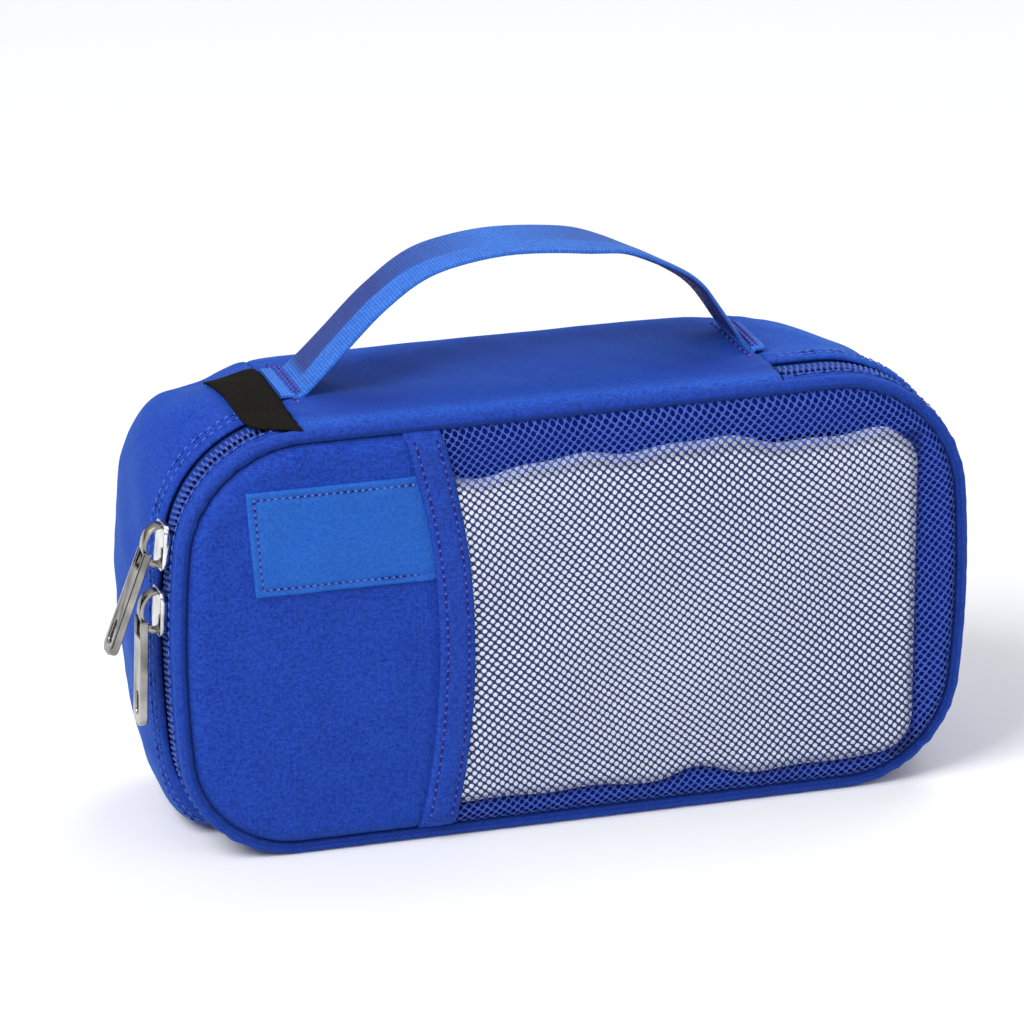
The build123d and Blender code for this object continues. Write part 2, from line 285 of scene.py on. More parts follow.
def rim(s):
    """Points (x, z) and outward directions of the outline at distances s from its top middle."""
    s = np.mod(s, perimeter)
    index = np.minimum(np.searchsorted(outline_ends, s, side="right"), len(outline_rows) - 1)
    length, x, z, radius, start, turn, run = np.moveaxis(outline_rows[index], -1, 0)
    share = (s - (outline_ends[index] - length)) / length
    angle = start + turn * share
    normal = np.stack([np.cos(angle), np.sin(angle)], -1)
    arc_x = np.where(radius > 0, x + radius * normal[..., 0], x + run * share)
    arc_z = np.where(radius > 0, z + radius * normal[..., 1], z)
    return np.stack([arc_x, arc_z], -1), normal


def on_rim(s, y, lift):
    """Points in space at distances s round the case, depth y, and lift outside the outline."""
    point, normal = rim(s)
    x = point[..., 0] + normal[..., 0] * lift
    z = point[..., 1] + normal[..., 1] * lift
    return np.stack([x, np.broadcast_to(y, x.shape), z], -1)


# ----------------------------------------------------------------------
# Cloth of the case: plain-weave nylon, royal blue, with a slightly uneven dye, a soft sheen and
# the weave's threads. One thread group serves every woven material of the cube.
def new_group(name, numbers, results):
    """Shader group that takes a Place and named numbers, and gives out numbers.

    Returns its wiring, what comes in, and the node where the results go out."""
    tree = bpy.data.node_groups.new(name, "ShaderNodeTree")
    add_socket = tree.interface.new_socket
    add_socket(name="Place", in_out="INPUT", socket_type="NodeSocketVector")
    for label, usual in numbers.items():
        socket = add_socket(name=label, in_out="INPUT", socket_type="NodeSocketFloat")
        socket.default_value = usual
    for label in results:
        add_socket(name=label, in_out="OUTPUT", socket_type="NodeSocketFloat")
    given, result = (tree.nodes.new("NodeGroup" + way) for way in ("Input", "Output"))
    return Wiring(tree), given.outputs, result


def build_threads():
    """Woven threads: two crossing sets of round ridges, each on top in every other square.

    Height is the ridge's profile, and Tone is a random shade for each crossing."""
    w, given, result = new_group("threads", {"Warp Pitch": 0.4, "Weft Pitch": 0.4},
                                 ("Height", "Tone"))
    x, y, _ = w.split(given["Place"])
    across = w.math("DIVIDE", x, given["Warp Pitch"])
    along = w.math("DIVIDE", y, given["Weft Pitch"])
    parity = w.math("ADD", w.math("FLOOR", across), w.math("FLOOR", along))
    over = w.math("PINGPONG", parity, 1.0)
    under = w.math("SUBTRACT", 1.0, over)
    ridge_warp, ridge_weft = (w.math("ABSOLUTE", w.math("SINE", w.math("MULTIPLY", place, pi)))
                              for place in (across, along))
    warp, weft = (w.math("MULTIPLY", w.math("MULTIPLY", own, shown), w.math("ADD", other, 0.6))
                  for own, shown, other in ((ridge_warp, over, ridge_weft),
                                            (ridge_weft, under, ridge_warp)))
    random_tone = w.add("TexWhiteNoise")
    random_tone.noise_dimensions = "2D"
    crossing = w.fill(w.add("CombineXYZ"), (w.math("FLOOR", across), w.math("FLOOR", along)))[0]
    w.put(random_tone, "Vector", crossing)
    w.fill(result, {"Height": w.math("ADD", warp, weft), "Tone": random_tone.outputs["Value"]})
    return w.tree


def build_dye():
    """Uneven colour and wear of cloth: a cloudy share, a grain share and a streak share."""
    w, given, result = new_group("uneven_dye", {}, ("Cloud", "Grain", "Slub"))
    place = given["Place"]
    w.fill(result, {"Cloud": w.noise(place, 0.09, 3.0), "Grain": w.noise(place, 1.15, 1.5),
                    "Slub": w.noise(w.scale(place, (0.25, 2.2, 1.0)), 1.0)})
    return w.tree


threads = build_threads()
uneven_dye = build_dye()


def woven(name, deep, bright, pitch=(0.5, 0.5), relief=0.05, roughness=0.68, sheen=0.27,
          turn=0.0, contrast=0.27, heather=0.34, grain=0.9, gloss=0.14, shade=None):
    """Cloth material: deep colour between threads, bright on their crests, pitch in mm.

    heather is the share of random shade from thread to thread, grain that of fine noise.
    shade is a darker colour, painted shade mixed in where the mesh's own shade attribute is 1."""
    made, w, shader = new_material(name)
    uv = w.add("UVMap")
    uv.uv_map = "weave"
    place = uv.outputs[0]
    if turn:
        place = w.fill(w.add("Mapping"), {"Vector": place, "Rotation": (0, 0, turn)})[0]
    cloth = w.group(threads, {"Place": place, "Warp Pitch": pitch[0], "Weft Pitch": pitch[1]})
    dye = w.group(uneven_dye, {"Place": place})
    share = w.math("MULTIPLY_ADD", cloth["Height"], contrast, 0.5 - contrast / 2)
    for unevenness, part in ((dye["Cloud"], 0.3), (dye["Grain"], grain), (cloth["Tone"], heather),
                             (dye["Slub"], 0.3)):
        share = w.math("MULTIPLY_ADD", w.math("SUBTRACT", unevenness, 0.5), part, share)
    colour = w.mix(w.math("MAXIMUM", share, 0.0), deep, bright)
    if shade:
        marked = w.add("Attribute")
        marked.attribute_name = "shade"
        colour = w.mix(marked.outputs["Fac"], colour, shade)
    rough = w.remap(dye["Grain"], 0.2, 0.8, roughness - 0.06, roughness + 0.08)
    relief_height = w.math("MULTIPLY_ADD", dye["Grain"], 0.6, cloth["Height"])
    w.fill(shader, {"Base Color": colour, "Roughness": rough, "Specular IOR Level": gloss,
                    "Sheen Weight": sheen, "Sheen Roughness": 0.45,
                    "Sheen Tint": (0.12, 0.42, 1.0, 1),
                    "Normal": w.bump(relief_height, 0.8, relief * mm)})
    return made


# Painted shade: the dark colour mixed in where a shade attribute marks a seam crease or trim edge.
seam_shade = (0.001, 0.008, 0.085)
case_cloth = woven("case_cloth", (0.0010, 0.013, 0.195), (0.0185, 0.078, 0.50), shade=seam_shade)
# Brighter case cloth, darkened by its shade attribute: painted highlights where the shade is off.
painted_light_cloth = woven("painted_light_cloth", (0.0013, 0.020, 0.24), (0.026, 0.115, 0.60),
                   shade=(0.004, 0.0125, 0.24))


def mark_shade(piece, amounts):
    """Writes the shade attribute: how much painted shade each vertex gets, 0 to 1, in order."""
    layer = piece.data.attributes.new("shade", "FLOAT", "POINT")
    layer.data.foreach_set("value", np.asarray(amounts, np.float32).ravel())


def cover(piece, material, body, slot, *stands_for):
    """Gives a piece its material and body and hides the CAD nodes it stands for; slot is not used.
    """
    piece.data.materials.clear()
    piece.data.materials.append(material)
    if body:
        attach(piece, body)
    if stands_for:
        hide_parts(*stands_for)
    return piece


# ----------------------------------------------------------------------
# Gusset: the cloth wall that runs from the left top seam down the left side, along the bottom
# and up the right side. Its front edge is turned under and sewn to the zip tape, and its rear
# edge rolls round into the seam with the back panel.
def grid_faces(rows, columns, wrap_rows=False, wrap_columns=False):
    """Quads between neighbouring points of a grid numbered row by row."""
    r = np.arange(rows if wrap_rows else rows - 1)[:, None]
    c = np.arange(columns if wrap_columns else columns - 1)[None, :]
    r_next, c_next = (r + 1) % rows, (c + 1) % columns
    corners = (r * columns + c, r * columns + c_next,
               r_next * columns + c_next, r_next * columns + c)
    return np.stack(corners, -1).reshape(-1, 4)


def grid_of(rows, columns):
    """Two parameters over a grid: the first changes from row to row, the second along them."""
    return np.meshgrid(rows, columns, indexing="ij")


def grid_object(name, points, weave, wrap=(False, False), turned=False):
    """Cloth over a grid of points, closed round its rows or columns where wrap says so.

    weave is the pair of grids of places on the cloth. Points that would sink below the floor
    are laid on it."""
    faces = grid_faces(*points.shape[:2], *wrap)
    return new_object(name, np.maximum(points, (-1, -1, 0)), faces[:, ::-1] if turned else faces,
                      weave=np.stack(weave, -1))


def thicken(piece, thickness=0.35 * mm):
    """Gives a sheet a wall on its inner side, as thick as the case's cloth or as told."""
    wall = piece.modifiers.new("thickness", "SOLIDIFY")
    wall.thickness = thickness
    wall.offset = -1


def bell(x, centre, width, power=2):
    """1 at centre and 0.37 at width to either side; a higher even power has a flatter top."""
    return np.exp(-((x - centre) / width) ** power)


def ramp(x, start, run):
    """0 before start, 1 past start + run, and straight between; run may be negative."""
    return np.clip((x - start) / run, 0, 1)


def ripple(a, b, *waves):
    """Sum of sine waves over two coordinates: each wave is (height, length a, length b, phase)."""
    total = 0
    for size, length_a, length_b, phase in waves:
        total = total + size * np.sin(2 * pi * (a / length_a + b / length_b) + phase)
    return total


seam_left_x, seam_right_x = (corner[0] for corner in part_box("top_panel"))
seam_left, seam_right = -seam_left_x, perimeter - seam_right_x
y_seam, y_back = (corner[1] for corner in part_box("back_panel"))
rear_radius = 12.5 * mm
fold_radius = 0.55 * mm
y_cloth_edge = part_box("side_gusset")[0][1]
# Corner's place in the outline's rows, swell, lean to the rear or front, and shift along it.
corner_swell = ((1, 2.6 * mm, 1.3, 0), (3, 4.5 * mm, 0.5, 2 * mm), (3, -1.6 * mm, 2.0, -14 * mm),
                (5, 2.8 * mm, 0.6, -6 * mm))


def fullness(s, y):
    """How far the stuffed case swells past its outline.

    A half sine over the depth, more at the sides than on top and none on the floor, with a
    sum of slow waves for the folds that the soft contents leave. At three corners a bell
    along the outline is added, high over the depth near the front or the rear."""
    side, up = np.moveaxis(rim(s)[1], -1, 0)
    share = ramp(y, y_cloth_edge, y_seam - y_cloth_edge)
    swell = (2.7 * np.abs(side) + 1.2 * np.maximum(up, 0)) * mm
    waves = ripple(s, y, (0.42 * mm, 0.061, 0.048, 0.4), (0.30 * mm, -0.037, 0.071, 2.1),
                   (0.16 * mm, 0.019, 0.023, 1.0), (0.12 * mm, -0.013, 0.017, 4.0))
    full = (swell + waves) * np.sin(pi * share ** 0.8)
    for piece, size, lean, shift in corner_swell:
        away = np.abs(s - shift - (outline_ends[piece] - outline_rows[piece, 0] / 2))
        full = full + size * bell(away, 0, 14 * mm) * np.sin(pi * share ** lean)
    return full * ramp(up, -1, 0.25)


def gathers(s, y, seam_s):
    """Gathers and the sunken line of a seam at distance seam_s round the case."""
    away = np.abs(s - seam_s)
    folds = 0.14 * mm * np.exp(-away / (3.5 * mm)) * ripple(y, away, (1, 0.0061, 0.011, 0.3),
                                                            (0.6, 0.0037, 0.02, 1.3))
    return folds - 0.55 * mm * bell(away, 0, 0.8 * mm)


def edge_gathers(s, y, edge_y, reach=4.5 * mm, size=0.13 * mm):
    """Small puckers along a sewn edge at depth edge_y, fading over reach."""
    away = np.abs(y - edge_y)
    return size * np.exp(-away / reach) * ripple(s, away, (1, 0.0083, 0.03, 0.0),
                                                 (0.8, 0.0057, -0.02, 2.0), (0.5, 0.0141, 0.05, 4))


# Middle x and z, reach, depth where it starts, depth's run, drop, and pull along x.
sags = ((-73.5 * mm, 97 * mm, 9 * mm, -8 * mm, 20 * mm, 3.2 * mm, 0),
        (80 * mm, 92 * mm, 25 * mm, y_cloth_edge, 12 * mm, 4.7 * mm, 1.5 * mm),
        (80 * mm, 92 * mm, 22 * mm, 4 * mm, 20 * mm, 1.2 * mm, 1.8 * mm))


def settle(points):
    """Points lowered where the soft case sags: beside the label, and at the top right corner.

    Each shift is a bell round one place times a smooth step over the depth."""
    moved = points.copy()
    for x, z, reach, start, run, drop, pull in sags:
        share = ramp(points[..., 1], start, run)
        near = bell(np.hypot(points[..., 0] - x, points[..., 2] - z), 0, reach)
        sag = share * share * (3 - 2 * share) * near
        moved[..., 0] -= pull * sag
        moved[..., 2] -= drop * sag
    return moved


fold = np.linspace(0, pi, 7)
rear_turn = np.linspace(0, asin((y_seam - y_back + rear_radius) / rear_radius), 9)[1:]
flat_y = np.linspace(y_cloth_edge + fold_radius, y_back - rear_radius, 44)[1:]
rear_y = y_back - rear_radius + rear_radius * np.sin(rear_turn)
rear_lift = -rear_radius * (1 - np.cos(rear_turn))
turned_under = y_cloth_edge + np.array([3.0, 1.6]) * mm
gusset_y = np.concatenate([turned_under, y_cloth_edge + fold_radius * (1 - np.sin(fold)), flat_y,
                           rear_y])
gusset_lift = np.concatenate([np.full(2, -2 * fold_radius), -fold_radius * (1 + np.cos(fold)),
                              0 * flat_y, rear_lift])
s_grid, y_grid = grid_of(np.linspace(seam_left, seam_right, 430), gusset_y)
outer = ramp(y_grid, y_cloth_edge + fold_radius, 2 * mm)
outer[:, :len(turned_under) + len(fold)] = 0
lift_grid = gusset_lift + fullness(s_grid, y_grid)
lift_grid += outer * (edge_gathers(s_grid, y_grid, y_cloth_edge + 3 * mm)
                      + edge_gathers(s_grid, y_grid, y_seam, 5 * mm, 0.12 * mm)
                      + gathers(s_grid, y_grid, seam_left) + gathers(s_grid, y_grid, seam_right))
near_stitches, far_stitches = y_cloth_edge + 1.8 * mm, y_cloth_edge + 3.3 * mm
lift_grid -= 0.16 * mm * bell(y_grid, near_stitches, 0.5 * mm) * outer
gusset = grid_object("gusset_cloth", settle(on_rim(s_grid, y_grid, lift_grid)), (s_grid, y_grid))
thicken(gusset)
cover(gusset, painted_light_cloth, "shell", "body_cloth", "side_gusset")
# Painted shade, even, but left off at the top right corner as a painted highlight.
off_corner = np.linalg.norm(rim(s_grid)[0] - np.array([82, 92]) * mm, axis=-1)
mark_shade(gusset, 0.42 * (1 - bell(off_corner, 0, 30 * mm, 4)))


# ----------------------------------------------------------------------
# Back panel: one piece of the same cloth, sewn to the gusset all round in a plain seam and
# filled out to a soft pillow.
def inset_of(x, z):
    """Distance of points (x, z) inside the outline: the least distance to its lines and arcs."""
    bow_x = side_radius - half_length
    best = np.minimum(height - z, z)
    for side in (-1, 1):
        best = np.minimum(best, side_radius - np.hypot(x + side * bow_x, z - side_peak))
    for name, (cx, cz, radius, lean) in corner_centres.items():
        side = -1 if name.endswith("left") else 1
        up = 1 if name.startswith("top") else -1
        dx, dz = side * (x - cx), up * (z - cz)
        in_sector = (dx > 0) & (dz > np.tan(up * lean) * dx)
        best = np.where(in_sector, radius - np.hypot(dx, dz), best)
    return best


def edge_x(side, z, inset):
    """Left (-1) or right (1) end of the level line at height z of the outline inset inside."""
    places = {name.split("_")[0]: place for name, place in corner_centres.items()
              if name.endswith("left" if side < 0 else "right")}
    bow = side_radius - inset
    x = (half_length - side_radius) + np.sqrt(bow ** 2 - (z - side_peak) ** 2)
    for (cx, cz, radius, lean), up in ((places["top"], 1), (places["bottom"], -1)):
        round_x = side * cx + np.sqrt(np.maximum((radius - inset) ** 2 - (z - cz) ** 2, 0))
        join = side_peak + bow * np.sin(lean)
        x = np.where(up * (z - join) > 0, round_x, x)
    return side * x


def level_rows(inset, rows):
    """Heights from the bottom to the top of the outline inset inside, close near both ends."""
    half = height / 2 - inset
    return height / 2 - half * np.cos(pi * np.linspace(0, 1, rows))


def back_depth(x, z):
    """Depth of the back panel: a quarter round from the seam, then a low crown with waves."""
    inset = inset_of(x, z)
    run = np.clip(rear_radius - inset, 0, rear_radius)
    rolled = y_back - rear_radius + np.sqrt(rear_radius ** 2 - run ** 2)
    crown = 1 - np.exp(-np.maximum(inset - 2 * mm, 0) / (22 * mm))
    waves = ripple(x, z, (0.45 * mm, 0.083, 0.061, 1.2), (0.3 * mm, -0.047, 0.09, 0.3),
                   (0.15 * mm, 0.021, -0.034, 2.2))
    puckers = 0.13 * mm * np.exp(-np.maximum(inset - 3 * mm, 0) / (4 * mm)) * ripple(
        x, z, (1, 0.0077, 0.0063, 0.2), (0.8, 0.0093, -0.0074, 1.7))
    return rolled + (1.4 * mm + waves) * crown ** 2 + puckers * ramp(inset, 2 * mm, mm)


def row_grid(left, right, z, columns):
    """Grid of x and z whose rows run from left to right, closer together near both ends."""
    u = (1 - np.cos(pi * np.linspace(0, 1, columns))) / 2
    x = left[:, None] + (right - left)[:, None] * u
    return x, np.broadcast_to(z[:, None], x.shape)


seam_inset = rear_radius * (1 - cos(rear_turn[-1]))
z_rows = level_rows(seam_inset, 110)
x_grid, z_grid = row_grid(edge_x(-1, z_rows, seam_inset), edge_x(1, z_rows, seam_inset), z_rows,
                          150)
points = np.stack([x_grid, back_depth(x_grid, z_grid), z_grid], -1)
back_cloth = grid_object("back_cloth", settle(points), (x_grid, z_grid), turned=True)
thicken(back_cloth)
cover(back_cloth, case_cloth, "shell", "body_cloth", "back_panel")


# ----------------------------------------------------------------------
# Rear seam tape: a narrow folded ribbon that binds the raw edges of the rear seam inside the
# case, sewn on all the way round. Its section is a flattened round.
def ring_places(count):
    """Distances round the whole outline, evenly spaced."""
    return np.linspace(0, perimeter, count, endpoint=False)


def round_turn(count):
    """Angles evenly round a full turn."""
    return np.arange(count) * 2 * pi / count


s_grid, turn_grid = grid_of(ring_places(360), round_turn(8) + pi / 8)
squared = np.abs(np.cos(turn_grid)) ** 0.5 * np.sign(np.cos(turn_grid))
points = on_rim(s_grid, y_seam - 1.0 * mm + 1.3 * mm * squared,
                -seam_inset - 1.1 * mm + 0.6 * mm * np.sin(turn_grid))
seam_tape = grid_object("rear_seam_tape", settle(points), (s_grid, turn_grid * mm), (True, True),
                        turned=True)
binding_cloth = woven("binding_cloth", (0.0025, 0.012, 0.12), (0.010, 0.040, 0.32))
cover(seam_tape, binding_cloth, "shell", "binding_tape", "rear_seam_binding")


# ----------------------------------------------------------------------
# Top cloth: one piece from the right top seam to the left one. Behind the zip's line it belongs
# to the case and in front of it to the lid, where it folds when the lid opens; here it is one
# fixed sheet.
y_fold_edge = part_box("lid_top_strip")[0][1]


def top_relief(x, y):
    """Lift of the top cloth: a low crown, a dip by the left foot of the handle, and waves."""
    across = ramp(y, y_fold_edge, y_seam - y_fold_edge)
    crown = 0.7 * mm * np.sin(pi * across ** 0.8)
    dip = -1.9 * mm * bell(x, -40 * mm, 11 * mm) * bell(y, 1 * mm, 11 * mm)
    ridge = 0.5 * mm * bell(x, -5 * mm, 48 * mm) * bell(y, -17 * mm, 7 * mm)
    waves = ripple(x, y, (0.16 * mm, 0.052, 0.041, 0.9), (0.1 * mm, -0.023, 0.037, 2.6),
                   (0.06 * mm, 0.013, 0.019, 0.1))
    return crown + dip + ridge + waves * np.sin(pi * across)


top_y = np.concatenate([np.linspace(y_fold_edge - 0.6 * mm, y_back - rear_radius, 56), rear_y])
top_lift = np.concatenate([[-0.9 * mm, -0.3 * mm], np.zeros(54), rear_lift])
x_grid, y_grid = grid_of(np.linspace(seam_right_x, seam_left_x, 160), top_y)
s_grid = -x_grid
lift_grid = (top_lift + top_relief(x_grid, y_grid) + gathers(s_grid, y_grid, seam_left)
             + gathers(s_grid, y_grid, -seam_right_x)
             + edge_gathers(x_grid, y_grid, y_fold_edge, 3 * mm, 0.07 * mm))
top_cloth = grid_object("top_cloth", settle(on_rim(s_grid, y_grid, lift_grid)), (s_grid, y_grid))
thicken(top_cloth)
# Painted shade, most by the handle's feet, off along the fold and rear edge as painted highlights.
rear_rim = bell(y_grid, 20 * mm, 4 * mm)
off_ridge = ramp(y_grid, y_fold_edge + 1.5 * mm, 4 * mm) * (1 - 0.8 * rear_rim)
by_feet = (bell(x_grid, -46 * mm, 13 * mm) + bell(x_grid, 36 * mm, 13 * mm)) * bell(
    y_grid, -12 * mm, 9 * mm)
mark_shade(top_cloth, np.clip((0.5 + 0.4 * by_feet) * off_ridge, 0, 1))
cover(top_cloth, painted_light_cloth, None, "body_cloth", "top_panel", "lid_top_strip")
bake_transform(top_cloth)


# ----------------------------------------------------------------------
# Lid edge: a narrow strip of the same cloth between the piping and the zip, its rear edge
# turned under like the gusset's, so that it and the piping read as one padded rim.
lid_low, lid_high = np.array(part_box("lid_gusset"))
edge_fold = lid_high[1] - fold_radius + fold_radius * np.sin(fold)
edge_y = np.concatenate([lid_low[1] + np.array([-0.9, -0.3, 0.2, 0.7, 1.1]) * mm, edge_fold,
                         lid_high[1] - np.array([1.1, 1.5]) * mm])
edge_lift = np.concatenate([np.array([-1.2, -0.75, -0.42, -0.2, -0.08]) * mm,
                            -fold_radius * (1 - np.cos(fold)), np.full(2, -2 * fold_radius)])
s_grid, y_grid = grid_of(np.linspace(seam_left, seam_right, 420), edge_y)
lift_grid = edge_lift + 0.06 * mm * ripple(s_grid, y_grid, (1, 0.0071, 0.02, 0.3),
                                           (0.7, 0.0113, -0.01, 1.9))
lid_edge = grid_object("lid_edge_cloth", on_rim(s_grid, y_grid, lift_grid), (s_grid, y_grid),
                       turned=True)
cover(lid_edge, case_cloth, "lid", "body_cloth", "lid_gusset")


# ----------------------------------------------------------------------
# Piping: a cord wrapped in a strip of the cloth cut on the bias, sewn between the lid edge and
# the front panel all the way round. It puckers where it turns a corner.
piping_radius = (piping_high[1] - piping_low[1]) / 2
y_piping = (piping_high[1] + piping_low[1]) / 2
s_grid, turn_grid = grid_of(ring_places(700), round_turn(16))
curved = np.clip(np.abs(np.prod(rim(s_grid)[1], -1)) * 2.4, 0.25, 1)
pipe_r = piping_radius + 0.09 * mm * curved * ripple(
    s_grid, turn_grid * mm, (1, 0.0049, 0.011, 0.0), (0.8, 0.0073, -0.014, 1.1),
    (0.6, 0.0031, 0.009, 2.3)) - 0.05 * mm
points = on_rim(s_grid, y_piping - pipe_r * np.cos(turn_grid),
                -piping_radius + pipe_r * np.sin(turn_grid))
piping = grid_object("piping", points, (s_grid, turn_grid * piping_radius), (True, True),
                     turned=True)
piping_cloth = woven("piping_cloth", (0.002, 0.016, 0.185), (0.018, 0.070, 0.46), turn=pi / 4,
                     shade=seam_shade)
cover(piping, piping_cloth, "lid", "body_cloth", "piping_cover")
# Painted shade on the piping's inner flank, in the crease beside the front panel.
crease_turn = 1.62 * pi
mark_shade(piping, bell(turn_grid, crease_turn, 0.42))


# ----------------------------------------------------------------------
# Cord in the piping: three cotton strands laid up in a rope, one turn in 13 mm. The cloth is
# wrapped round it, so it shows nowhere.
s_grid, turn_grid = grid_of(ring_places(1100), round_turn(15))
rope_turns = 40
strands = np.cos(3 * (turn_grid - s_grid * 2 * pi * rope_turns / perimeter))
cord_r = 0.9 * mm + 0.09 * mm * strands
cord = grid_object("cotton_cord", on_rim(s_grid, y_piping - cord_r * np.cos(turn_grid),
                                         -piping_radius + cord_r * np.sin(turn_grid)),
                   (s_grid, turn_grid * mm), (True, True), turned=True)
cord_cotton = woven("cord_cotton", (0.55, 0.53, 0.47), (0.80, 0.78, 0.72), pitch=(0.3, 0.3),
                    turn=pi / 5, sheen=0.0)
cover(cord, cord_cotton, "lid", "piping_core", "piping_cord")


# ----------------------------------------------------------------------
# Front cloth panel: the left third of the lid's face, plain cloth over the soft contents. It
# rises from the seam beside the piping and is drawn in small puckers along that seam.
panel_inset = 2.4 * mm
trim_width = 8.3 * mm
trim_points = ((-36.7 * mm, height), (-28.5 * mm, height / 2), (-33.7 * mm, 0.0))


def circle_through(a, b, c):
    """Centre x, z and radius of the circle through three points."""
    system = np.array([[b[0] - a[0], b[1] - a[1]], [c[0] - a[0], c[1] - a[1]]])
    squares = [p[0] ** 2 + p[1] ** 2 for p in (a, b, c)]
    x, z = np.linalg.solve(2 * system, [squares[1] - squares[0], squares[2] - squares[0]])
    return x, z, hypot(a[0] - x, a[1] - z)


trim_x, trim_z, trim_radius = circle_through(*trim_points)


def trim_line(z, offset):
    """x of the trim's middle line at height z, moved outward by offset."""
    return trim_x + np.sqrt((trim_radius + offset) ** 2 - (z - trim_z) ** 2)


y_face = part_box("front_fabric_panel")[0][1]


def face_depth(x, z):
    """Depth of the lid's face: a steep rise from the seam, a slow crown, waves and puckers."""
    inset = np.maximum(inset_of(x, z) - panel_inset, 0)
    rise = 1 - (1 - ramp(inset, 0, 5 * mm)) ** 2.8
    crown = 1 - bell(inset, 0, 18 * mm)
    waves = ripple(x, z, (0.22 * mm, 0.057, 0.083, 0.5), (0.15 * mm, -0.041, 0.052, 2.4),
                   (0.08 * mm, 0.019, 0.027, 1.5))
    puckers = 0.2 * mm * np.exp(-inset / (3.2 * mm)) * ripple(
        x, z, (1, 0.0061, 0.0069, 0.4), (0.7, 0.0083, -0.0071, 1.9), (0.5, 0.0123, 0.0151, 3.0))
    start = y_piping + 0.5 * mm
    puckers = puckers * ramp(inset, 0.6 * mm, mm)
    beside = np.abs(x - trim_line(z, 0)) - trim_width / 2
    pressed = 0.5 * mm * bell(beside, 0, 1.1 * mm) * rise
    return start + (y_face - start) * rise - (0.75 * mm + waves) * crown - puckers + pressed


z_rows = level_rows(panel_inset, 120)
x_grid, z_grid = row_grid(edge_x(-1, z_rows, panel_inset), trim_line(z_rows, -1 * mm), z_rows, 90)
points = np.stack([x_grid, face_depth(x_grid, z_grid), z_grid], -1)
front_cloth = grid_object("front_cloth", points, (x_grid, z_grid))
cover(front_cloth, case_cloth, "lid", "body_cloth", "front_fabric_panel")
# Painted shade in the crease where the panel rises beside the piping.
mark_shade(front_cloth, bell(inset_of(x_grid, z_grid), panel_inset, 0.95 * mm))


# ----------------------------------------------------------------------
# Trim: a bowed band of the cloth, folded to a flat strip and sewn down along both its edges
# over the join between the cloth panel and the mesh.
trim_v = np.linspace(0, 1, 170)
# Places across the band, closer together at its edges and round the stitch rows.
trim_u = np.array([-1, -0.985, -0.95, -0.9, -0.8, -0.72, -0.65, -0.58, -0.51, -0.44, -0.36, -0.15,
                   0.15, 0.36, 0.44, 0.51, 0.58, 0.65, 0.72, 0.8, 0.9, 0.95, 0.985, 1])
stitch_share = 0.58


def trim_relief(u, v):
    """Lift of the band: flat, rounded off at its edges, sunken under its two stitch rows."""
    flat = 0.85 * mm * (1 - np.abs(u) ** 16)
    sunk = 0.28 * mm * bell(np.abs(u), stitch_share, 0.13)
    return flat - sunk + 0.05 * mm * ripple(v, u, (1, 0.043, 2.1, 0.2), (1, 0.071, -1.7, 2.0))


v_grid, u_grid = grid_of(trim_v, trim_u)
z_grid = panel_inset + (height - 2 * panel_inset) * (1 - np.cos(pi * v_grid)) / 2
x_grid = trim_line(z_grid, u_grid * trim_width / 2)
points = np.stack([x_grid, face_depth(x_grid, z_grid) - trim_relief(u_grid, v_grid), z_grid], -1)
trim = grid_object("trim_band", points, (x_grid, z_grid))
trim_cloth = woven("trim_cloth", (0.003, 0.018, 0.20), (0.022, 0.080, 0.49), shade=seam_shade)
cover(trim, trim_cloth, "lid", "body_cloth", "window_trim")
# Painted shade in a thin line along both edges of the band.
mark_shade(trim, 0.6 * bell(np.abs(u_grid), 1, 0.03))


# ----------------------------------------------------------------------
# Patch: a brighter, smoother rectangle of cloth with turned edges, sewn flat to the panel and
# tucked under the trim at its right end. It is left bare.
patch_low, patch_high = np.array(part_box("blank_patch"))
# Places along and up the patch, closer together at its turned edges.
patch_u = np.concatenate([[0, 0.003, 0.008, 0.014, 0.022, 0.032, 0.042, 0.052, 0.064],
                          np.linspace(0.08, 1, 26)])
patch_v = np.concatenate([patch_u[:9] * 1.6, np.linspace(0.125, 0.875, 18),
                          1 - patch_u[8::-1] * 1.6])
patch_border = 1.7 * mm
patch_lean = 2.0 * mm


def patch_start_at(z):
    """x of the patch's left edge at height z, which leans outward to the top."""
    return patch_low[0] - patch_lean * (z - patch_low[2]) / (patch_high[2] - patch_low[2])


def patch_relief(from_left, from_ends):
    """Lift of the patch: rounded edges, and a valley along the border stitching."""
    near = np.minimum(from_left, from_ends)
    rounded = 1 - (1 - ramp(near, 0, 0.45 * mm)) ** 2
    return 0.75 * mm * np.sqrt(rounded) - 0.26 * mm * bell(near, patch_border, 0.5 * mm)


v_grid, u_grid = grid_of(patch_v, patch_u)
z_grid = patch_low[2] + (patch_high[2] - patch_low[2]) * v_grid
patch_end = trim_line(z_grid, -trim_width / 2 + 0.5 * mm)
patch_start = patch_start_at(z_grid)
x_grid = patch_start + (patch_end - patch_start) * u_grid
ends = np.minimum(z_grid - patch_low[2], patch_high[2] - z_grid)
tucked = 0.3 + 0.7 * ramp(patch_end - x_grid, 0, 1.4 * mm)
lift = patch_relief(x_grid - patch_start, ends) * tucked
lift += 0.08 * mm * ripple(x_grid, z_grid, (1, 0.021, 0.035, 0.0), (1, -0.013, 0.05, 1.0))
points = np.stack([x_grid, face_depth(x_grid, z_grid) - lift + 0.05 * mm, z_grid], -1)
patch = grid_object("blank_patch_cloth", points, (x_grid, z_grid))
patch_cloth = woven("patch_cloth", (0.004, 0.066, 0.37), (0.028, 0.155, 0.60), pitch=(0.45, 0.3),
                    relief=0.03, roughness=0.55, sheen=0.1, contrast=0.2, heather=0.25, grain=0.8)
cover(patch, patch_cloth, "lid", "patch_cloth", "blank_patch")


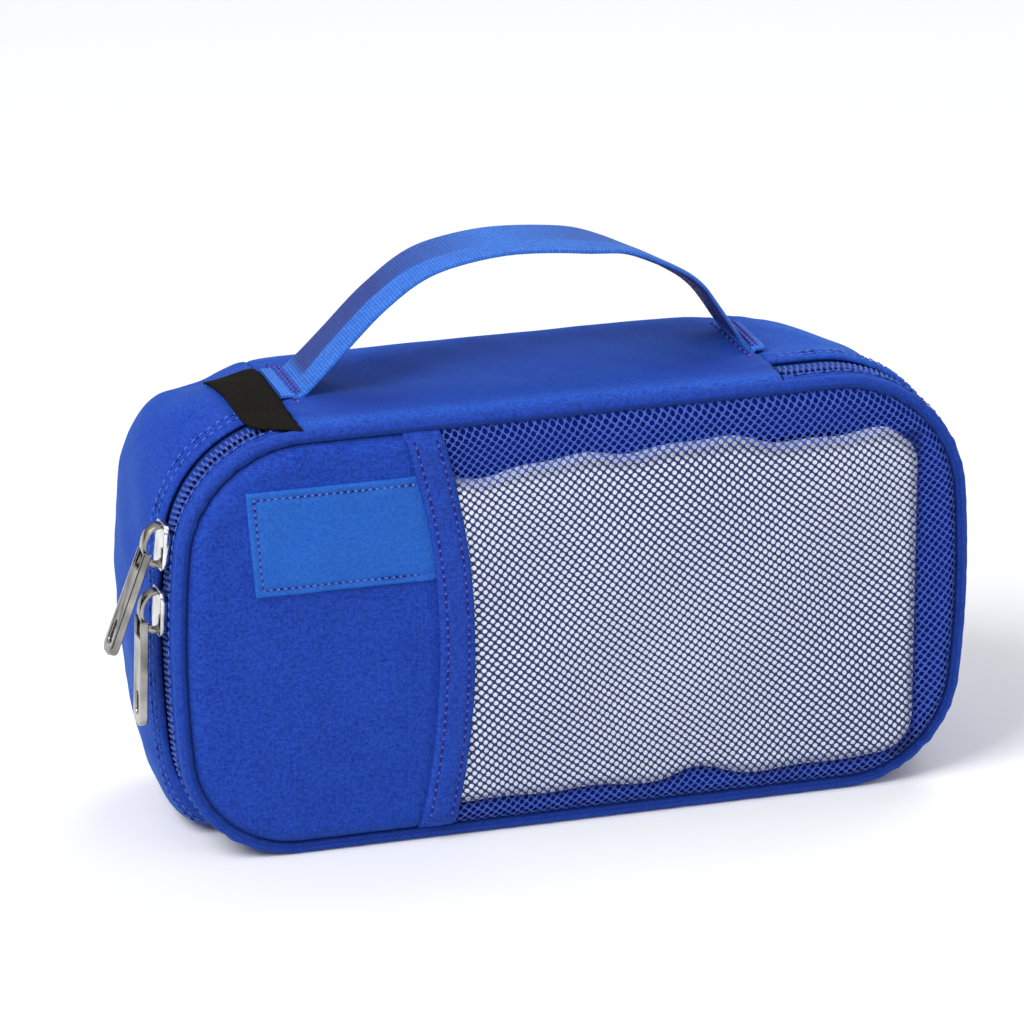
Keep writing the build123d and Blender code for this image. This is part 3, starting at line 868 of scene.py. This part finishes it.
# ----------------------------------------------------------------------
# Mesh window: knitted nylon net, its strands crossing on the diagonal round staggered round
# holes. Each hole is a ring of eight points, and the strands swell to a crest between rings.
mesh_pitch = 1.40 * mm
mesh_turn = radians(6)
strand_rise = 0.11 * mm
hole_radius = 0.59 * mm
mesh_size = np.diff(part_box("mesh_window"), axis=0)


def in_window(x, z):
    """True where a cell lies inside the piping's seam and right of the trim's middle."""
    return (inset_of(x, z) > panel_inset - 0.2 * mm) & (x > trim_line(z, -1.5 * mm))


def on_lattice(across, up):
    """Lattice steps as x and z, turned and stretched a little in slow waves as hung cloth is."""
    step = mesh_pitch / sqrt(2)
    x = (across * cos(mesh_turn) - up * sin(mesh_turn)) * step + 25 * mm
    z = (across * sin(mesh_turn) + up * cos(mesh_turn)) * step + 50 * mm
    return (x + 0.5 * mm * ripple(x, z, (1, 0.09, 0.13, 0.2)),
            z + 0.6 * mm * ripple(x, z, (1, 0.12, -0.1, 1.0)))


def net():
    """Closed net over the face: diagonal square cells with a hole in each one in the window.

    A cell's corners are crests in front of and behind the sheet, and its hole's ring lies in
    the sheet, so both sides meet at the ring."""
    reach = int(np.linalg.norm(mesh_size) / (mesh_pitch / sqrt(2)))
    i, k = (part.ravel() for part in grid_of(*[np.arange(-reach, reach)] * 2))
    cells = ((i + k) % 2 == 0) & in_window(*on_lattice(i, k))
    i, k = i[cells], k[cells]
    cell_x, cell_z = (part[:, None] for part in on_lattice(i, k))
    row_key = 1000
    keys, corner = np.unique(np.stack([i + dx + row_key * (k + dz) for dx, dz in
                                       ((1, 0), (0, 1), (-1, 0), (0, -1))], -1),
                             return_inverse=True)
    corner = corner.reshape(-1, 4)
    key_k = np.round(keys / row_key).astype(int)
    crest_x, crest_z = on_lattice(keys - row_key * key_k, key_k)
    turn = round_turn(8) + pi / 8 + mesh_turn
    squeeze = 1 + 0.05 * np.sin(cell_x * 2 * pi / 0.031 + cell_z * 2 * pi / 0.047)
    ring_x = cell_x + hole_radius * np.cos(turn) * squeeze
    ring_z = cell_z + hole_radius * np.sin(turn) / squeeze
    x = np.concatenate([crest_x, crest_x, ring_x.ravel()])
    z = np.concatenate([crest_z, crest_z, ring_z.ravel()])
    lift = np.repeat([strand_rise, -strand_rise, 0], [len(keys), len(keys), ring_x.size])
    points = np.stack([x, face_depth(x, z) - lift, z], -1)
    ring = 2 * len(keys) + np.arange(ring_x.size).reshape(-1, 8)
    quads, fans = [], []
    for side, order in ((0, 1), (1, -1)):
        own = corner + side * len(keys)
        for q in range(4):
            before, last, first = ring[:, 2 * q - 1], ring[:, 2 * q], ring[:, 2 * q + 1]
            quad = np.stack([own[:, q], own[:, (q + 1) % 4], first, last], -1)
            quads.append(quad[:, ::order])
            fans.append(np.stack([own[:, q], last, before], -1)[:, ::order])
    return points, np.concatenate(quads), np.concatenate(fans)


points, quads, fans = net()
net_x, _, net_z = points.T
in_ring = np.arange(len(points)) >= len(points) - len(quads)
window_net = new_object("window_net", points, quads, fans, weave=points[:, ::2])
# The net's shade colour is painted shade for the strands over the pale bundle.
net_cloth = woven("net_yarn", (0.025, 0.055, 0.29), (0.080, 0.157, 0.62), pitch=(0.12, 0.12),
                  relief=0.01, roughness=0.55, sheen=0.05, shade=(0.021, 0.028, 0.095))
cover(window_net, net_cloth, "lid", "mesh", "mesh_window")


# ----------------------------------------------------------------------
# Facing: a strip of the case's cloth sewn in behind the edge of the lid's face, which binds the
# seam's raw edges and shows blue through the net. It slopes back behind the contents.
facing_in = np.concatenate([[2.2, 2.6], np.linspace(3.4, 15.0, 14)]) * mm
s_grid, in_grid = grid_of(ring_places(360), facing_in)
in_grid = in_grid * (1 + 0.35 * bell(s_grid, 30 * mm, 16 * mm))
points = on_rim(s_grid, 0 * s_grid, -in_grid)
points[..., 1] = (face_depth(points[..., 0], points[..., 2]) + 1.7 * mm
                  + 5.2 * mm * ramp(in_grid, 3 * mm, 4 * mm) ** 0.8)
facing = grid_object("lid_facing", points, (s_grid, in_grid), (True, False), turned=True)
thicken(facing, 0.3 * mm)
# Darker than the case's cloth: the facing is real, its darkness painted shade behind the net.
facing_cloth = woven("facing_cloth", (0.0015, 0.012, 0.22), (0.0075, 0.038, 0.46), sheen=0.0)
cover(facing, facing_cloth, "lid", "binding_tape", "front_seam_binding")


# ----------------------------------------------------------------------
# Contents behind the mesh: a flat folded bundle of pale cloth that fills the lid, soft at its
# edges and uneven along its top and bottom.
pad_low, pad_high = np.array(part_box("filler_pad"))
pad_corner = 9 * mm
pad_edge = 3.4 * mm


def bundle(rows, columns):
    """Front and back sheets of the bundle on one grid of a rounded rectangle.

    Each sheet lies a quarter round away from the middle depth, from 0 at the outline to full
    at pad_edge inside it. The outline's top and bottom are moved by waves."""
    middle = (pad_low + pad_high) / 2
    half_x, _, half_z = (pad_high - pad_low) / 2
    lean_z = -half_z * np.cos(pi * np.linspace(0, 1, rows))
    over = np.maximum(np.abs(lean_z) - (half_z - pad_corner), 0)
    end = half_x - pad_corner + np.sqrt(np.maximum(pad_corner ** 2 - over ** 2, 0))
    x, z = row_grid(-end, end, lean_z, columns)
    beyond_x = np.abs(x) - (half_x - pad_corner)
    beyond_z = np.abs(z) - (half_z - pad_corner)
    round_in = pad_corner - np.hypot(np.maximum(beyond_x, 0), np.maximum(beyond_z, 0))
    inset = np.where((beyond_x > 0) & (beyond_z > 0), round_in,
                     pad_corner - np.maximum(beyond_x, beyond_z))
    full = np.sqrt(1 - (1 - ramp(inset, 0, pad_edge)) ** 2)
    top_wave = (ripple(x, 0, (1.1 * mm, 0.094, 1, 0.2), (0.8 * mm, 0.036, 1, 2.2),
                       (0.4 * mm, 0.017, 1, 0.5))
                - 0.9 * mm + 1.2 * mm * ramp(x, -30 * mm, -15 * mm))
    notch = 2.9 * mm * bell(x, 28 * mm, np.where(x < 28 * mm, 6.5 * mm, 10 * mm))
    low_wave = (ripple(x, 0, (0.6 * mm, 0.062, 1, 1.0), (0.3 * mm, 0.023, 1, 0.2)) + notch
                - 1.3 * mm + 2.5 * mm * ramp(x, 10 * mm, -58 * mm))
    share = z / half_z
    z = z + np.where(share > 0, top_wave, low_wave) * share ** 4
    x, z = x + middle[0], z + middle[2]
    folds = ripple(x, z, (0.5 * mm, 0.071, 0.044, 0.4), (0.3 * mm, -0.031, 0.047, 2.0))
    under_cloth = ramp(trim_line(z, 0) - x, 0, 3 * mm)
    front = face_depth(x, z) + strand_rise + 0.04 * mm + 0.9 * mm * under_cloth
    back = pad_high[1] - 0.5 * mm + folds
    rim_y = np.maximum(middle[1], front + 1.5 * mm)
    return [np.stack([x, rim_y + (y - rim_y) * full, z], -1) for y in (front, back)]


def merge_doubles(source, target, distance, flat_within=None):
    """Copies a mesh with points closer than distance made one.

    Faces that lie flat within an angle are made one as well, where the angle is given."""
    work = bmesh.new()
    work.from_mesh(source)
    bmesh.ops.remove_doubles(work, verts=work.verts, dist=distance)
    if flat_within:
        bmesh.ops.dissolve_limit(work, angle_limit=flat_within, verts=work.verts, edges=work.edges)
    work.to_mesh(target)
    work.free()


pad_rows, pad_columns = 110, 150
front_sheet, back_sheet = bundle(pad_rows, pad_columns)
both_sheets = np.concatenate([front_sheet, back_sheet])
sheet_faces = grid_faces(pad_rows, pad_columns)
filler = new_object("filler_bundle", both_sheets, sheet_faces,
                    sheet_faces[:, ::-1] + pad_rows * pad_columns, weave=both_sheets[..., ::2])
merge_doubles(filler.data, filler.data, 1e-6)
filler_cloth = woven("filler_cloth", (0.89, 0.93, 0.99), (0.96, 0.98, 1.0), pitch=(0.5, 0.5),
                     relief=0.03, roughness=0.8, sheen=0.05, contrast=0.2, heather=0.2,
                     grain=0.5)
cover(filler, filler_cloth, "lid", "filler", "filler_pad")
edge_low, edge_top = front_sheet[[0, -1]][..., ::2].swapaxes(1, 2)
behind = np.minimum(np.interp(net_x, *edge_top) - net_z, net_z - np.interp(net_x, *edge_low))
behind = np.minimum(behind, pad_high[0] - net_x)
# Painted shade, darkening the strands only over the bundle, less at the holes than on the crests.
over_pad = np.clip(behind / (1.2 * mm) + 0.3, 0, 1)
mark_shade(window_net, over_pad * np.where(in_ring, 0.55, 1.0))


# ----------------------------------------------------------------------
# Zip tapes: woven ribbons under the turned edges of the cloth, one sewn to the case and one to
# the lid, facing each other across the chain.
def tape_strip(name, inner_y, outer_y, body, slot, stands_for):
    """Ribbon round the case between two depths, at the depth under the cloth of its CAD node."""
    s, y = grid_of(np.linspace(seam_left, seam_right, 400), np.linspace(inner_y, outer_y, 7))
    made = grid_object(name, on_rim(s, y, tape_lift), (s, y), turned=outer_y < inner_y)
    thicken(made, 0.45 * mm)
    return cover(made, tape_cloth, body, slot, stands_for)


tape_lift = -1.5 * mm
tape_cloth = woven("zip_tape_cloth", (0.0025, 0.013, 0.15), (0.0095, 0.040, 0.32),
                   pitch=(0.55, 0.35), relief=0.08)
front_tape, rear_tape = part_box("zip_tape_front"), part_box("zip_tape_rear")
tape_strip("front_tape", front_tape[1][1], front_tape[0][1], "lid", "zip_tape", "zip_tape_front")
tape_strip("rear_tape", rear_tape[0][1], rear_tape[1][1], "shell", "zip_tape", "zip_tape_rear")


# ----------------------------------------------------------------------
# Zip coil: nylon wire wound into a row of loops along each tape, the loops of one side lying
# between those of the other, held to the tape by a line of sewing between them.
def end_fans(rings, around):
    """Triangles that close a tube of rings with one more point for each end."""
    j = np.arange(around)
    j_next, first, last = (j + 1) % around, np.full(around, rings * around), (rings - 1) * around
    return np.concatenate([np.stack([j_next, j, first], -1),
                           np.stack([last + j, last + j_next, first + 1], -1)])


def unit(vectors):
    """Rows of vectors made one long."""
    return vectors / np.linalg.norm(vectors, axis=1, keepdims=True)


def rods(centres, tangents, sides, ups, stations, radii, around):
    """Many like rods, capped to a point at both ends.

    stations gives each ring's place along (tangent, side, up), radii its radius; each ring is
    turned square to the rod's own line in the side-up plane."""
    line = unit(np.gradient(stations, axis=0))
    first = np.cross(line, [1.0, 0, 0])
    weak = np.linalg.norm(first, axis=1) < 0.5
    first[weak] = np.cross(line[weak], [0, 0, 1.0])
    first = unit(first)
    turn = round_turn(around)[None, :, None]
    circle = np.cos(turn) * first[:, None] + np.sin(turn) * np.cross(line, first)[:, None]
    local = stations[:, None] + circle * radii[:, None, None]
    ends = stations[[0, -1]] + np.array([[-0.6], [0.6]]) * line[[0, -1]] * radii[[0, -1], None]
    local = np.concatenate([local.reshape(-1, 3), ends])
    axes = np.stack([tangents, sides, ups], 1)
    points = centres[:, None] + np.einsum("kc,ncd->nkd", local, axes)
    rings = len(stations), around
    shift = (np.arange(len(centres)) * len(local))[:, None, None]
    return (points, (grid_faces(*rings, False, True)[:, ::-1] + shift).reshape(-1, 4),
            (end_fans(*rings) + shift).reshape(-1, 3))


coil_pitch = 1.4 * mm
chain_y = (front_tape[1][1] + rear_tape[0][1]) / 2
# Rings of one loop: shift along the chain, distance from its middle, height over the outline.
coil_stations = np.array([(0, 1.75, -1.35), (0, 1.8, -0.9), (0.03, 1.55, -0.68),
                          (0.06, 1.0, -0.66), (0.08, 0.45, -0.74), (0.08, 0.2, -1.15)]) * mm
coil_radii = np.array([0.28, 0.31, 0.33, 0.33, 0.31, 0.28]) * mm


def outward(s):
    """Directions out of the case at distances s round it, in space."""
    normal = rim(s)[1]
    return np.stack([normal[..., 0], 0 * s, normal[..., 1]], -1)


def coil_row(name, side, shift, body, stands_for):
    """Row of loops at one side of the chain, shift of a pitch along it."""
    at = np.arange(seam_left + 1.2 * mm, seam_right - 1.2 * mm, coil_pitch) + shift * coil_pitch
    ups = outward(at)
    sides = np.broadcast_to([0.0, side, 0.0], ups.shape)
    made = new_object(name, *rods(on_rim(at, chain_y, 0), np.cross(sides, ups), sides, ups,
                                  coil_stations, coil_radii, 7))
    return cover(made, coil_nylon, body, "zip_coil", stands_for)


coil_nylon, w, shader = new_material("coil_nylon")
mottle = w.noise(w.place(), 900.0, 3.0)
w.fill(shader, {"Base Color": w.mix(mottle, (0.022, 0.055, 0.31), (0.070, 0.135, 0.54)),
                "Roughness": w.remap(mottle, 0.3, 0.7, 0.40, 0.56), "Specular IOR Level": 0.3,
                "Normal": w.bump(w.noise(w.place(), 2600.0), 0.4, 0.02 * mm)})
coil_row("front_coil", -1, 0.0, "lid", "zip_coil_front")
coil_row("rear_coil", 1, 0.5, "shell", "zip_coil_rear")


# ----------------------------------------------------------------------
# Sliders and pulls: die-cast and plated to a polished nickel, dark on the bridges and pulls, with
# softened edges, fine scratches and a slow random drift to a brighter tone.
def build_handling():
    """Traces of handling on metal: fine scratches, cloudy smudges and a slow colour drift."""
    w, given, result = new_group("handling", {}, ("Scratch", "Smudge", "Drift"))
    place = given["Place"]
    lines = w.noise(w.scale(place, (9000.0, 9000.0, 700.0)), 1.0, 3.0)
    w.fill(result, {"Scratch": w.remap(lines, 0.6, 0.72, 0.0, 1.0),
                    "Smudge": w.noise(place, 420.0, 3.0), "Drift": w.noise(place, 110.0)})
    return w.tree


handling = build_handling()


def plated(name, dark, bright, roughness):
    """Polished metal: dark tone with brighter drift, smudged gloss and scratches in relief."""
    made, w, shader = new_material(name)
    traces = w.group(handling, {"Place": w.place()})
    drift = w.remap(traces["Drift"], 0.35, 0.65, 0.0, 1.0)
    w.fill(shader, {"Base Color": w.mix(drift, dark, bright), "Metallic": 1.0,
                    "Roughness": w.remap(traces["Smudge"], 0.3, 0.7, roughness, roughness + 0.14),
                    "Normal": w.bump(traces["Scratch"], 0.3, 0.01 * mm)})
    return made


# The slider bodies' far brighter nickel is a painted reflection of the white surround.
slider_metal = plated("slider_nickel", (0.46, 0.45, 0.44), (0.92, 0.91, 0.90), 0.10)
bridge_metal = plated("bridge_nickel", (0.14, 0.135, 0.12), (0.46, 0.44, 0.40), 0.08)
pull_metal = plated("pull_nickel", (0.12, 0.115, 0.105), (0.42, 0.405, 0.38), 0.07)


def cast(name, node, softness, metal, body, slot):
    """Copy of a CAD node's mesh, merged and cleaned, with its edges softened."""
    made = new_object(name, np.zeros((0, 3)))
    merge_doubles(nodes[node].data, made.data, 2e-6, radians(2))
    made.data.polygons.foreach_set("use_smooth", np.ones(len(made.data.polygons), bool))
    edges = made.modifiers.new("soft_edges", "BEVEL")
    edges.width = softness
    edges.segments = 3
    edges.limit_method = "ANGLE"
    edges.angle_limit = radians(35)
    edges.harden_normals = True
    return cover(made, metal, body, slot, node)


for which in ("upper", "lower"):
    for name, node, softness, metal, body, slot in (
            ("_slider", "_slider_body", 0.28 * mm, slider_metal, "_slider", "zip_metal"),
            ("_bridge", "_slider_bridge", 0.25 * mm, bridge_metal, "_slider", "zip_metal"),
            ("_tab", "_pull_tab", 0.32 * mm, pull_metal, "_pull", "pull_metal")):
        cast(which + name, which + node, softness, metal, which + body, slot)


# ----------------------------------------------------------------------
# Handle: one length of ribbed nylon webbing, sewn down flat at both top seams and arched high
# between them. The left foot is caught in the seam; the right one lies over its seam.
end_left, end_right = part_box("handle_end_left"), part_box("handle_end_right")
webbing = 1.5 * mm
web_base = end_left[0][2]
foot_left = end_left[0][0] + 5.5 * mm
foot_right = end_right[1][0] - 4.0 * mm
arch_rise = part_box("handle_strap")[1][2] - webbing - web_base
# The arch's middle line as shares of the distance between its feet and of its rise.
arch_share = np.array([(0.0, 0.0), (0.083, 0.327), (0.18, 0.674), (0.278, 0.895), (0.415, 1.0),
                       (0.541, 1.0), (0.688, 0.923), (0.779, 0.793), (0.871, 0.602),
                       (0.927, 0.396), (1.0, 0.0)])


def run_along(points):
    """Length of a line of points up to each one."""
    return np.concatenate([[0], np.cumsum(np.linalg.norm(np.diff(points, axis=0), axis=1))])


def sample(values, run, at):
    """Rows of values, given at lengths run, worked out at the lengths at."""
    return np.stack([np.interp(at, run, column) for column in values.T], -1)


def smooth_line(knots, count):
    """Catmull-Rom curve through knots, count points evenly spaced along its length."""
    padded = np.concatenate([[2 * knots[0] - knots[1]], knots, [2 * knots[-1] - knots[-2]]])
    t = np.linspace(0, len(knots) - 1 - 1e-9, 1200)
    i, f = t.astype(int), (t % 1)[:, None]
    a, b, c, d = (padded[i + n] for n in range(4))
    fine = 0.5 * (2 * b + (c - a) * f + (2 * a - 5 * b + 4 * c - d) * f ** 2
                  + (3 * b - a - 3 * c + d) * f ** 3)
    run = run_along(fine)
    at = np.linspace(0, run[-1], count)
    return sample(fine, run, at), at


arch = np.stack([foot_left + arch_share[:, 0] * (foot_right - foot_left),
                 web_base + webbing / 2 + arch_share[:, 1] * arch_rise], -1)
flat_left, flat_right = (np.array([(x, arch[0, 1]) for x in ends]) for ends in (
    (end_left[0][0] + 0.2 * mm, end_left[0][0] + 2.8 * mm),
    (end_right[1][0] - 2.2 * mm, end_right[1][0] - 0.1 * mm)))
web_line, web_run = smooth_line(np.concatenate([flat_left, arch, flat_right]), 260)
web_half = (end_left[1][1] - end_left[0][1]) / 2
rib_pitch = 1.55 * mm


def web_section(around):
    """Flat section, rounded off at both edges: places across the width, and thicknesses.

    The top side runs from the rear edge to the front one and the underside back again."""
    turn = round_turn(around)
    side = np.where(turn < pi, 1, -1)
    across = np.cos(turn)
    thick = side * np.sqrt(np.maximum(1 - np.abs(across) ** 12, 0))
    ribs = 1 - 0.10 * (0.5 - 0.5 * np.cos(2 * pi * across * web_half / rib_pitch))
    return across * web_half, thick * webbing / 2 * ribs


def webbing_piece(name, first, last):
    """Closed length of the webbing between two of the line's points, carried square to it."""
    ends = np.array([web_run[first] + 0.05 * mm, web_run[last - 1] - 0.05 * mm])
    run = np.sort(np.append(web_run[first:last], ends))
    line = sample(web_line, web_run, run)
    along = unit(sample(np.gradient(web_line, axis=0), web_run, run))
    normal = np.stack([-along[:, 1], along[:, 0]], -1)
    across, thick = web_section(112)
    # The left leg is creased lengthwise like a low roof, and the strap rolls a bit past its top.
    crease = -0.3 * web_half
    roof = np.sqrt((across - crease) ** 2 + (1.2 * mm) ** 2) - 1.2 * mm
    bend = 0.10 * bell(run, 26 * mm, 17 * mm, 4)[:, None]
    roll = 0.15 * bell(run, 99 * mm, 13.5 * mm, 4)[:, None]
    lift = thick - bend * roof - roll * across
    x = line[:, :1] + normal[:, :1] * lift
    z = line[:, 1:] + normal[:, 1:] * lift
    y = np.broadcast_to(across[None], x.shape)
    ends = np.stack([line[[0, -1], 0], [0, 0], line[[0, -1], 1]], -1)
    points = np.concatenate([np.stack([x, y, z], -1).reshape(-1, 3), ends])
    faces = grid_faces(*x.shape, False, True)[:, ::-1]
    flat = np.stack([np.broadcast_to(run[:, None], x.shape), y], -1).reshape(-1, 2)
    made = new_object(name, points, faces, end_fans(*x.shape),
                      weave=np.concatenate([flat, [[run[0], 0], [run[-1], 0]]]))
    made.data.polygons.foreach_set("use_smooth", np.arange(len(made.data.polygons)) < len(faces))
    # Painted shade behind the left leg's crease, less of it past the top, and under the right leg.
    rear = ramp(across, -0.32 * web_half, 0.9 * mm)
    under = np.clip(0.35 - 2 * thick / webbing, 0, 1)
    leg = ramp(run, 7.5 * mm, 2 * mm) * ramp(run, 60 * mm, -28 * mm)
    past_top = ramp(run, 64 * mm, 16 * mm)
    down = ramp(run, 84 * mm, 22 * mm) * ramp(run, web_run[-1] - 8 * mm, -1.5 * mm)
    shade = np.maximum(rear * np.maximum(0.75 * leg ** 0.7, 0.3 * past_top)[:, None],
                       under * down[:, None])
    mark_shade(made, np.append(shade, [0, 0]))
    return made


# The webbing's shade colour, dark violet, is painted shade laid on by the shade attribute.
web_cloth = woven("webbing_nylon", (0.008, 0.052, 0.34), (0.042, 0.205, 0.74), pitch=(0.75, 0.775),
                  relief=0.14, roughness=0.5, sheen=0.07, contrast=0.5, heather=0.25, grain=0.6,
                  gloss=0.25, shade=(0.018, 0.009, 0.12))
middle = int(np.argmin(np.abs(web_line[:, 0])))
left_web = webbing_piece("handle_left_web", 0, middle + 1)
right_web = webbing_piece("handle_right_web", middle, len(web_line))
cover(left_web, web_cloth, None, "webbing", "handle_end_left", "handle_strap")
cover(right_web, web_cloth, None, "webbing", "handle_end_right")
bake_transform(left_web)
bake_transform(right_web)


# ----------------------------------------------------------------------
# Label: a folded tab of black ribbon caught in the left top seam, lying over the end of the
# zip, its front end cut on the slant. It is left bare.
tag_low, tag_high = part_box("flag_label")
tip_low, tip_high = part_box("flag_label_tip")
label_width = 11 * mm
u_grid, v_grid = grid_of(np.linspace(0, 1, 26), np.linspace(0, 1, 90))
y_grid = tip_low[1] + (tag_high[1] - tip_low[1]) * v_grid
slant = 0.9 * np.exp(-v_grid / 0.09) + 0.1 * (1 - v_grid)
tag_end = tag_low[0] + (tip_high[0] - tag_low[0] - 0.4 * mm) * slant
x_grid = tip_high[0] + 0.3 * mm + (tag_end - tip_high[0] - 0.3 * mm) * u_grid
s_grid = -x_grid
lift_grid = (0.75 * mm + 0.35 * mm * u_grid * np.sin(pi * v_grid) + fullness(s_grid, y_grid)
             + 0.12 * mm * ripple(s_grid, y_grid, (1, 0.013, 0.021, 0.4)))
lift_grid -= 0.9 * mm * bell(u_grid, 0, 0.8 * mm / label_width)
lift_grid -= 0.75 * mm * ramp(y_grid, tip_low[1] + 2.2 * mm, -2.2 * mm) ** 2
label = grid_object("black_label", settle(on_rim(s_grid, y_grid, lift_grid)), (s_grid, y_grid))
thicken(label, 0.55 * mm)
label_cloth = woven("label_ribbon", (0.004, 0.0035, 0.0035), (0.017, 0.014, 0.013),
                    pitch=(0.3, 0.45), relief=0.04, roughness=0.85, sheen=0.0, gloss=0.03)
cover(label, label_cloth, None, "flag_cloth", "flag_label", "flag_label_tip")
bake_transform(label)


# ----------------------------------------------------------------------
# Sewing: polyester thread, purple on the trim and the seams, paler on the patch and blue beside
# the zip. Every row is a line of short arched stitches that dive into the cloth at both ends.
def sew(name, points, ups, pitch, thread, body, width=0.55 * mm, slot="body_cloth", fill=0.52):
    """Row of stitches along a line of points with outward directions ups, pitch apart.

    Between the arched stitches the thread dips into a needle hole: a dark dash of painted shadow."""
    run = run_along(points)
    count = int(run[-1] / pitch)
    at = (np.arange(count) + 0.5) * run[-1] / count
    along = unit(sample(points, run, at + 0.2 * mm) - sample(points, run, at - 0.2 * mm))
    up = sample(ups, run, at)
    up = unit(up - along * np.sum(up * along, axis=1, keepdims=True))
    share = np.array([-1, -0.7, 0, 0.7, 1])
    for kind, shift, length, rise, girth in (("over", 0.0, fill, 0.2, 1.0),
                                             ("dip", 0.5, 0.96 - fill, 0.02, 1.15)):
        stations = np.stack([share * pitch * length / 2, 0 * share,
                             (rise - 0.3 * share ** 4) * mm], -1)
        radii = width / 2 * girth * np.array([0.55, 0.9, 1.0, 0.9, 0.55])
        centres = sample(points, run, np.minimum(at + shift * pitch, run[-1]))
        made = new_object(name + "_" + kind, *rods(centres, along, np.cross(up, along), up,
                                                   stations, radii, 6))
        cover(made, thread if kind == "over" else hole_shadow_thread, body, slot)


def spun(name, dark, pale):
    """Thread: twisted filaments as fine slanted ridges, with a slight sheen."""
    made, w, shader = new_material(name)
    fibre = w.noise(w.scale(w.place(), (4200.0, 4200.0, 4200.0)), 1.0)
    drift = w.math("MULTIPLY_ADD", w.noise(w.place(), 160.0), 0.8, -0.2)
    w.fill(shader, {"Base Color": w.mix(w.math("MULTIPLY_ADD", fibre, 0.6, drift), dark, pale),
                    "Roughness": w.remap(fibre, 0.3, 0.7, 0.45, 0.65), "Specular IOR Level": 0.15,
                    "Normal": w.bump(fibre, 0.5, 0.03 * mm)})
    return made


purple_thread = spun("purple_thread", (0.050, 0.048, 0.31), (0.135, 0.125, 0.58))
pale_thread = spun("pale_thread", (0.075, 0.12, 0.50), (0.19, 0.25, 0.74))
blue_thread = spun("blue_thread", (0.036, 0.11, 0.50), (0.10, 0.215, 0.75))
# The dips' thread is darker than the stitches: painted shadow in the needle holes.
hole_shadow_thread = spun("hole_shadow_thread", (0.003, 0.008, 0.11), (0.010, 0.018, 0.20))


def over_face(x, z, lift):
    """Points lifted off the lid's face at x, z, with the direction out of it."""
    points = np.stack([x, face_depth(x, z) - lift, z], -1)
    return points, np.broadcast_to((0.0, -1.0, 0.0), points.shape)


row_z = np.linspace(5.5 * mm, height - 5.0 * mm, 300)
for side, name in ((-1, "left"), (1, "right")):
    row_x = trim_line(row_z, side * stitch_share * trim_width / 2)
    sew("trim_stitches_" + name, *over_face(row_x, row_z, 0.42 * mm), 2.0 * mm, purple_thread,
        "lid", width=0.62 * mm, fill=0.45)

low_z, high_z = patch_low[2] + patch_border, patch_high[2] - patch_border
end_x = trim_line(high_z, -trim_width / 2) - 0.3 * mm
low_x, high_x = patch_border + patch_start_at(np.array([low_z, high_z]))
border = np.concatenate([np.linspace((end_x, high_z), (high_x, high_z), 80),
                         np.linspace((high_x, high_z), (low_x, low_z), 62)[1:-1],
                         np.linspace((low_x, low_z), (end_x, low_z), 80)])
sew("patch_stitches", *over_face(*border.T, 0.40 * mm), 1.6 * mm, pale_thread, "lid",
    width=0.5 * mm, slot="patch_cloth", fill=0.48)


def over_rim(s, y, lift):
    """Points lifted off the case's outline at s and depth y, with the direction outward.

    Where the case stands on the floor they are sunk into the cloth."""
    ups = outward(s)
    return settle(on_rim(s, y, lift - 0.5 * mm * ramp(ups[:, 2], -0.9, -0.1))), ups


row_y = np.linspace(-14 * mm, 13 * mm, 120)
for name, row_x in (("left", seam_left_x + 3.2 * mm), ("right", seam_right_x - 3.2 * mm)):
    row = over_rim(np.full(120, -row_x), row_y, top_relief(row_x, row_y) + 0.05 * mm)
    sew("seam_stitches_" + name, *row, 3.0 * mm, purple_thread, "shell")

row_s = np.linspace(seam_left + 3 * mm, seam_right - 3 * mm, 900)
near_lift, far_lift = (fullness(row_s, y) for y in (near_stitches, far_stitches))
for name, y, lift, body in (
        ("lid_edge_stitches", lid_high[1] - 1.15 * mm, -0.02 * mm, "lid"),
        ("case_edge_stitches_near", near_stitches, near_lift - 0.12 * mm, "shell"),
        ("case_edge_stitches_far", far_stitches, far_lift, "shell")):
    sew(name, *over_rim(row_s, y, lift), 2.2 * mm, blue_thread, body, width=0.36 * mm)


# ----------------------------------------------------------------------
# Bar tacks: two close rows of tight purple stitches across each end of the webbing, which hold
# the handle to the case.
row_y = np.linspace(-web_half + 0.8 * mm, web_half - 0.8 * mm, 100)
for name, places in (("left", (foot_left - 2.2 * mm, foot_left - 1.0 * mm)),
                     ("right", (foot_right + 1.3 * mm, foot_right + 2.5 * mm))):
    for number, row_x in enumerate(places):
        points = np.stack([np.full(100, row_x), row_y, np.full(100, web_base + webbing)], -1)
        ups = np.broadcast_to([0.0, 0.0, 1.0], points.shape)
        sew("bar_tack_" + name + "_" + str(number + 1), points, ups, 1.7 * mm, purple_thread,
            "shell", width=0.6 * mm, slot="webbing", fill=0.7)
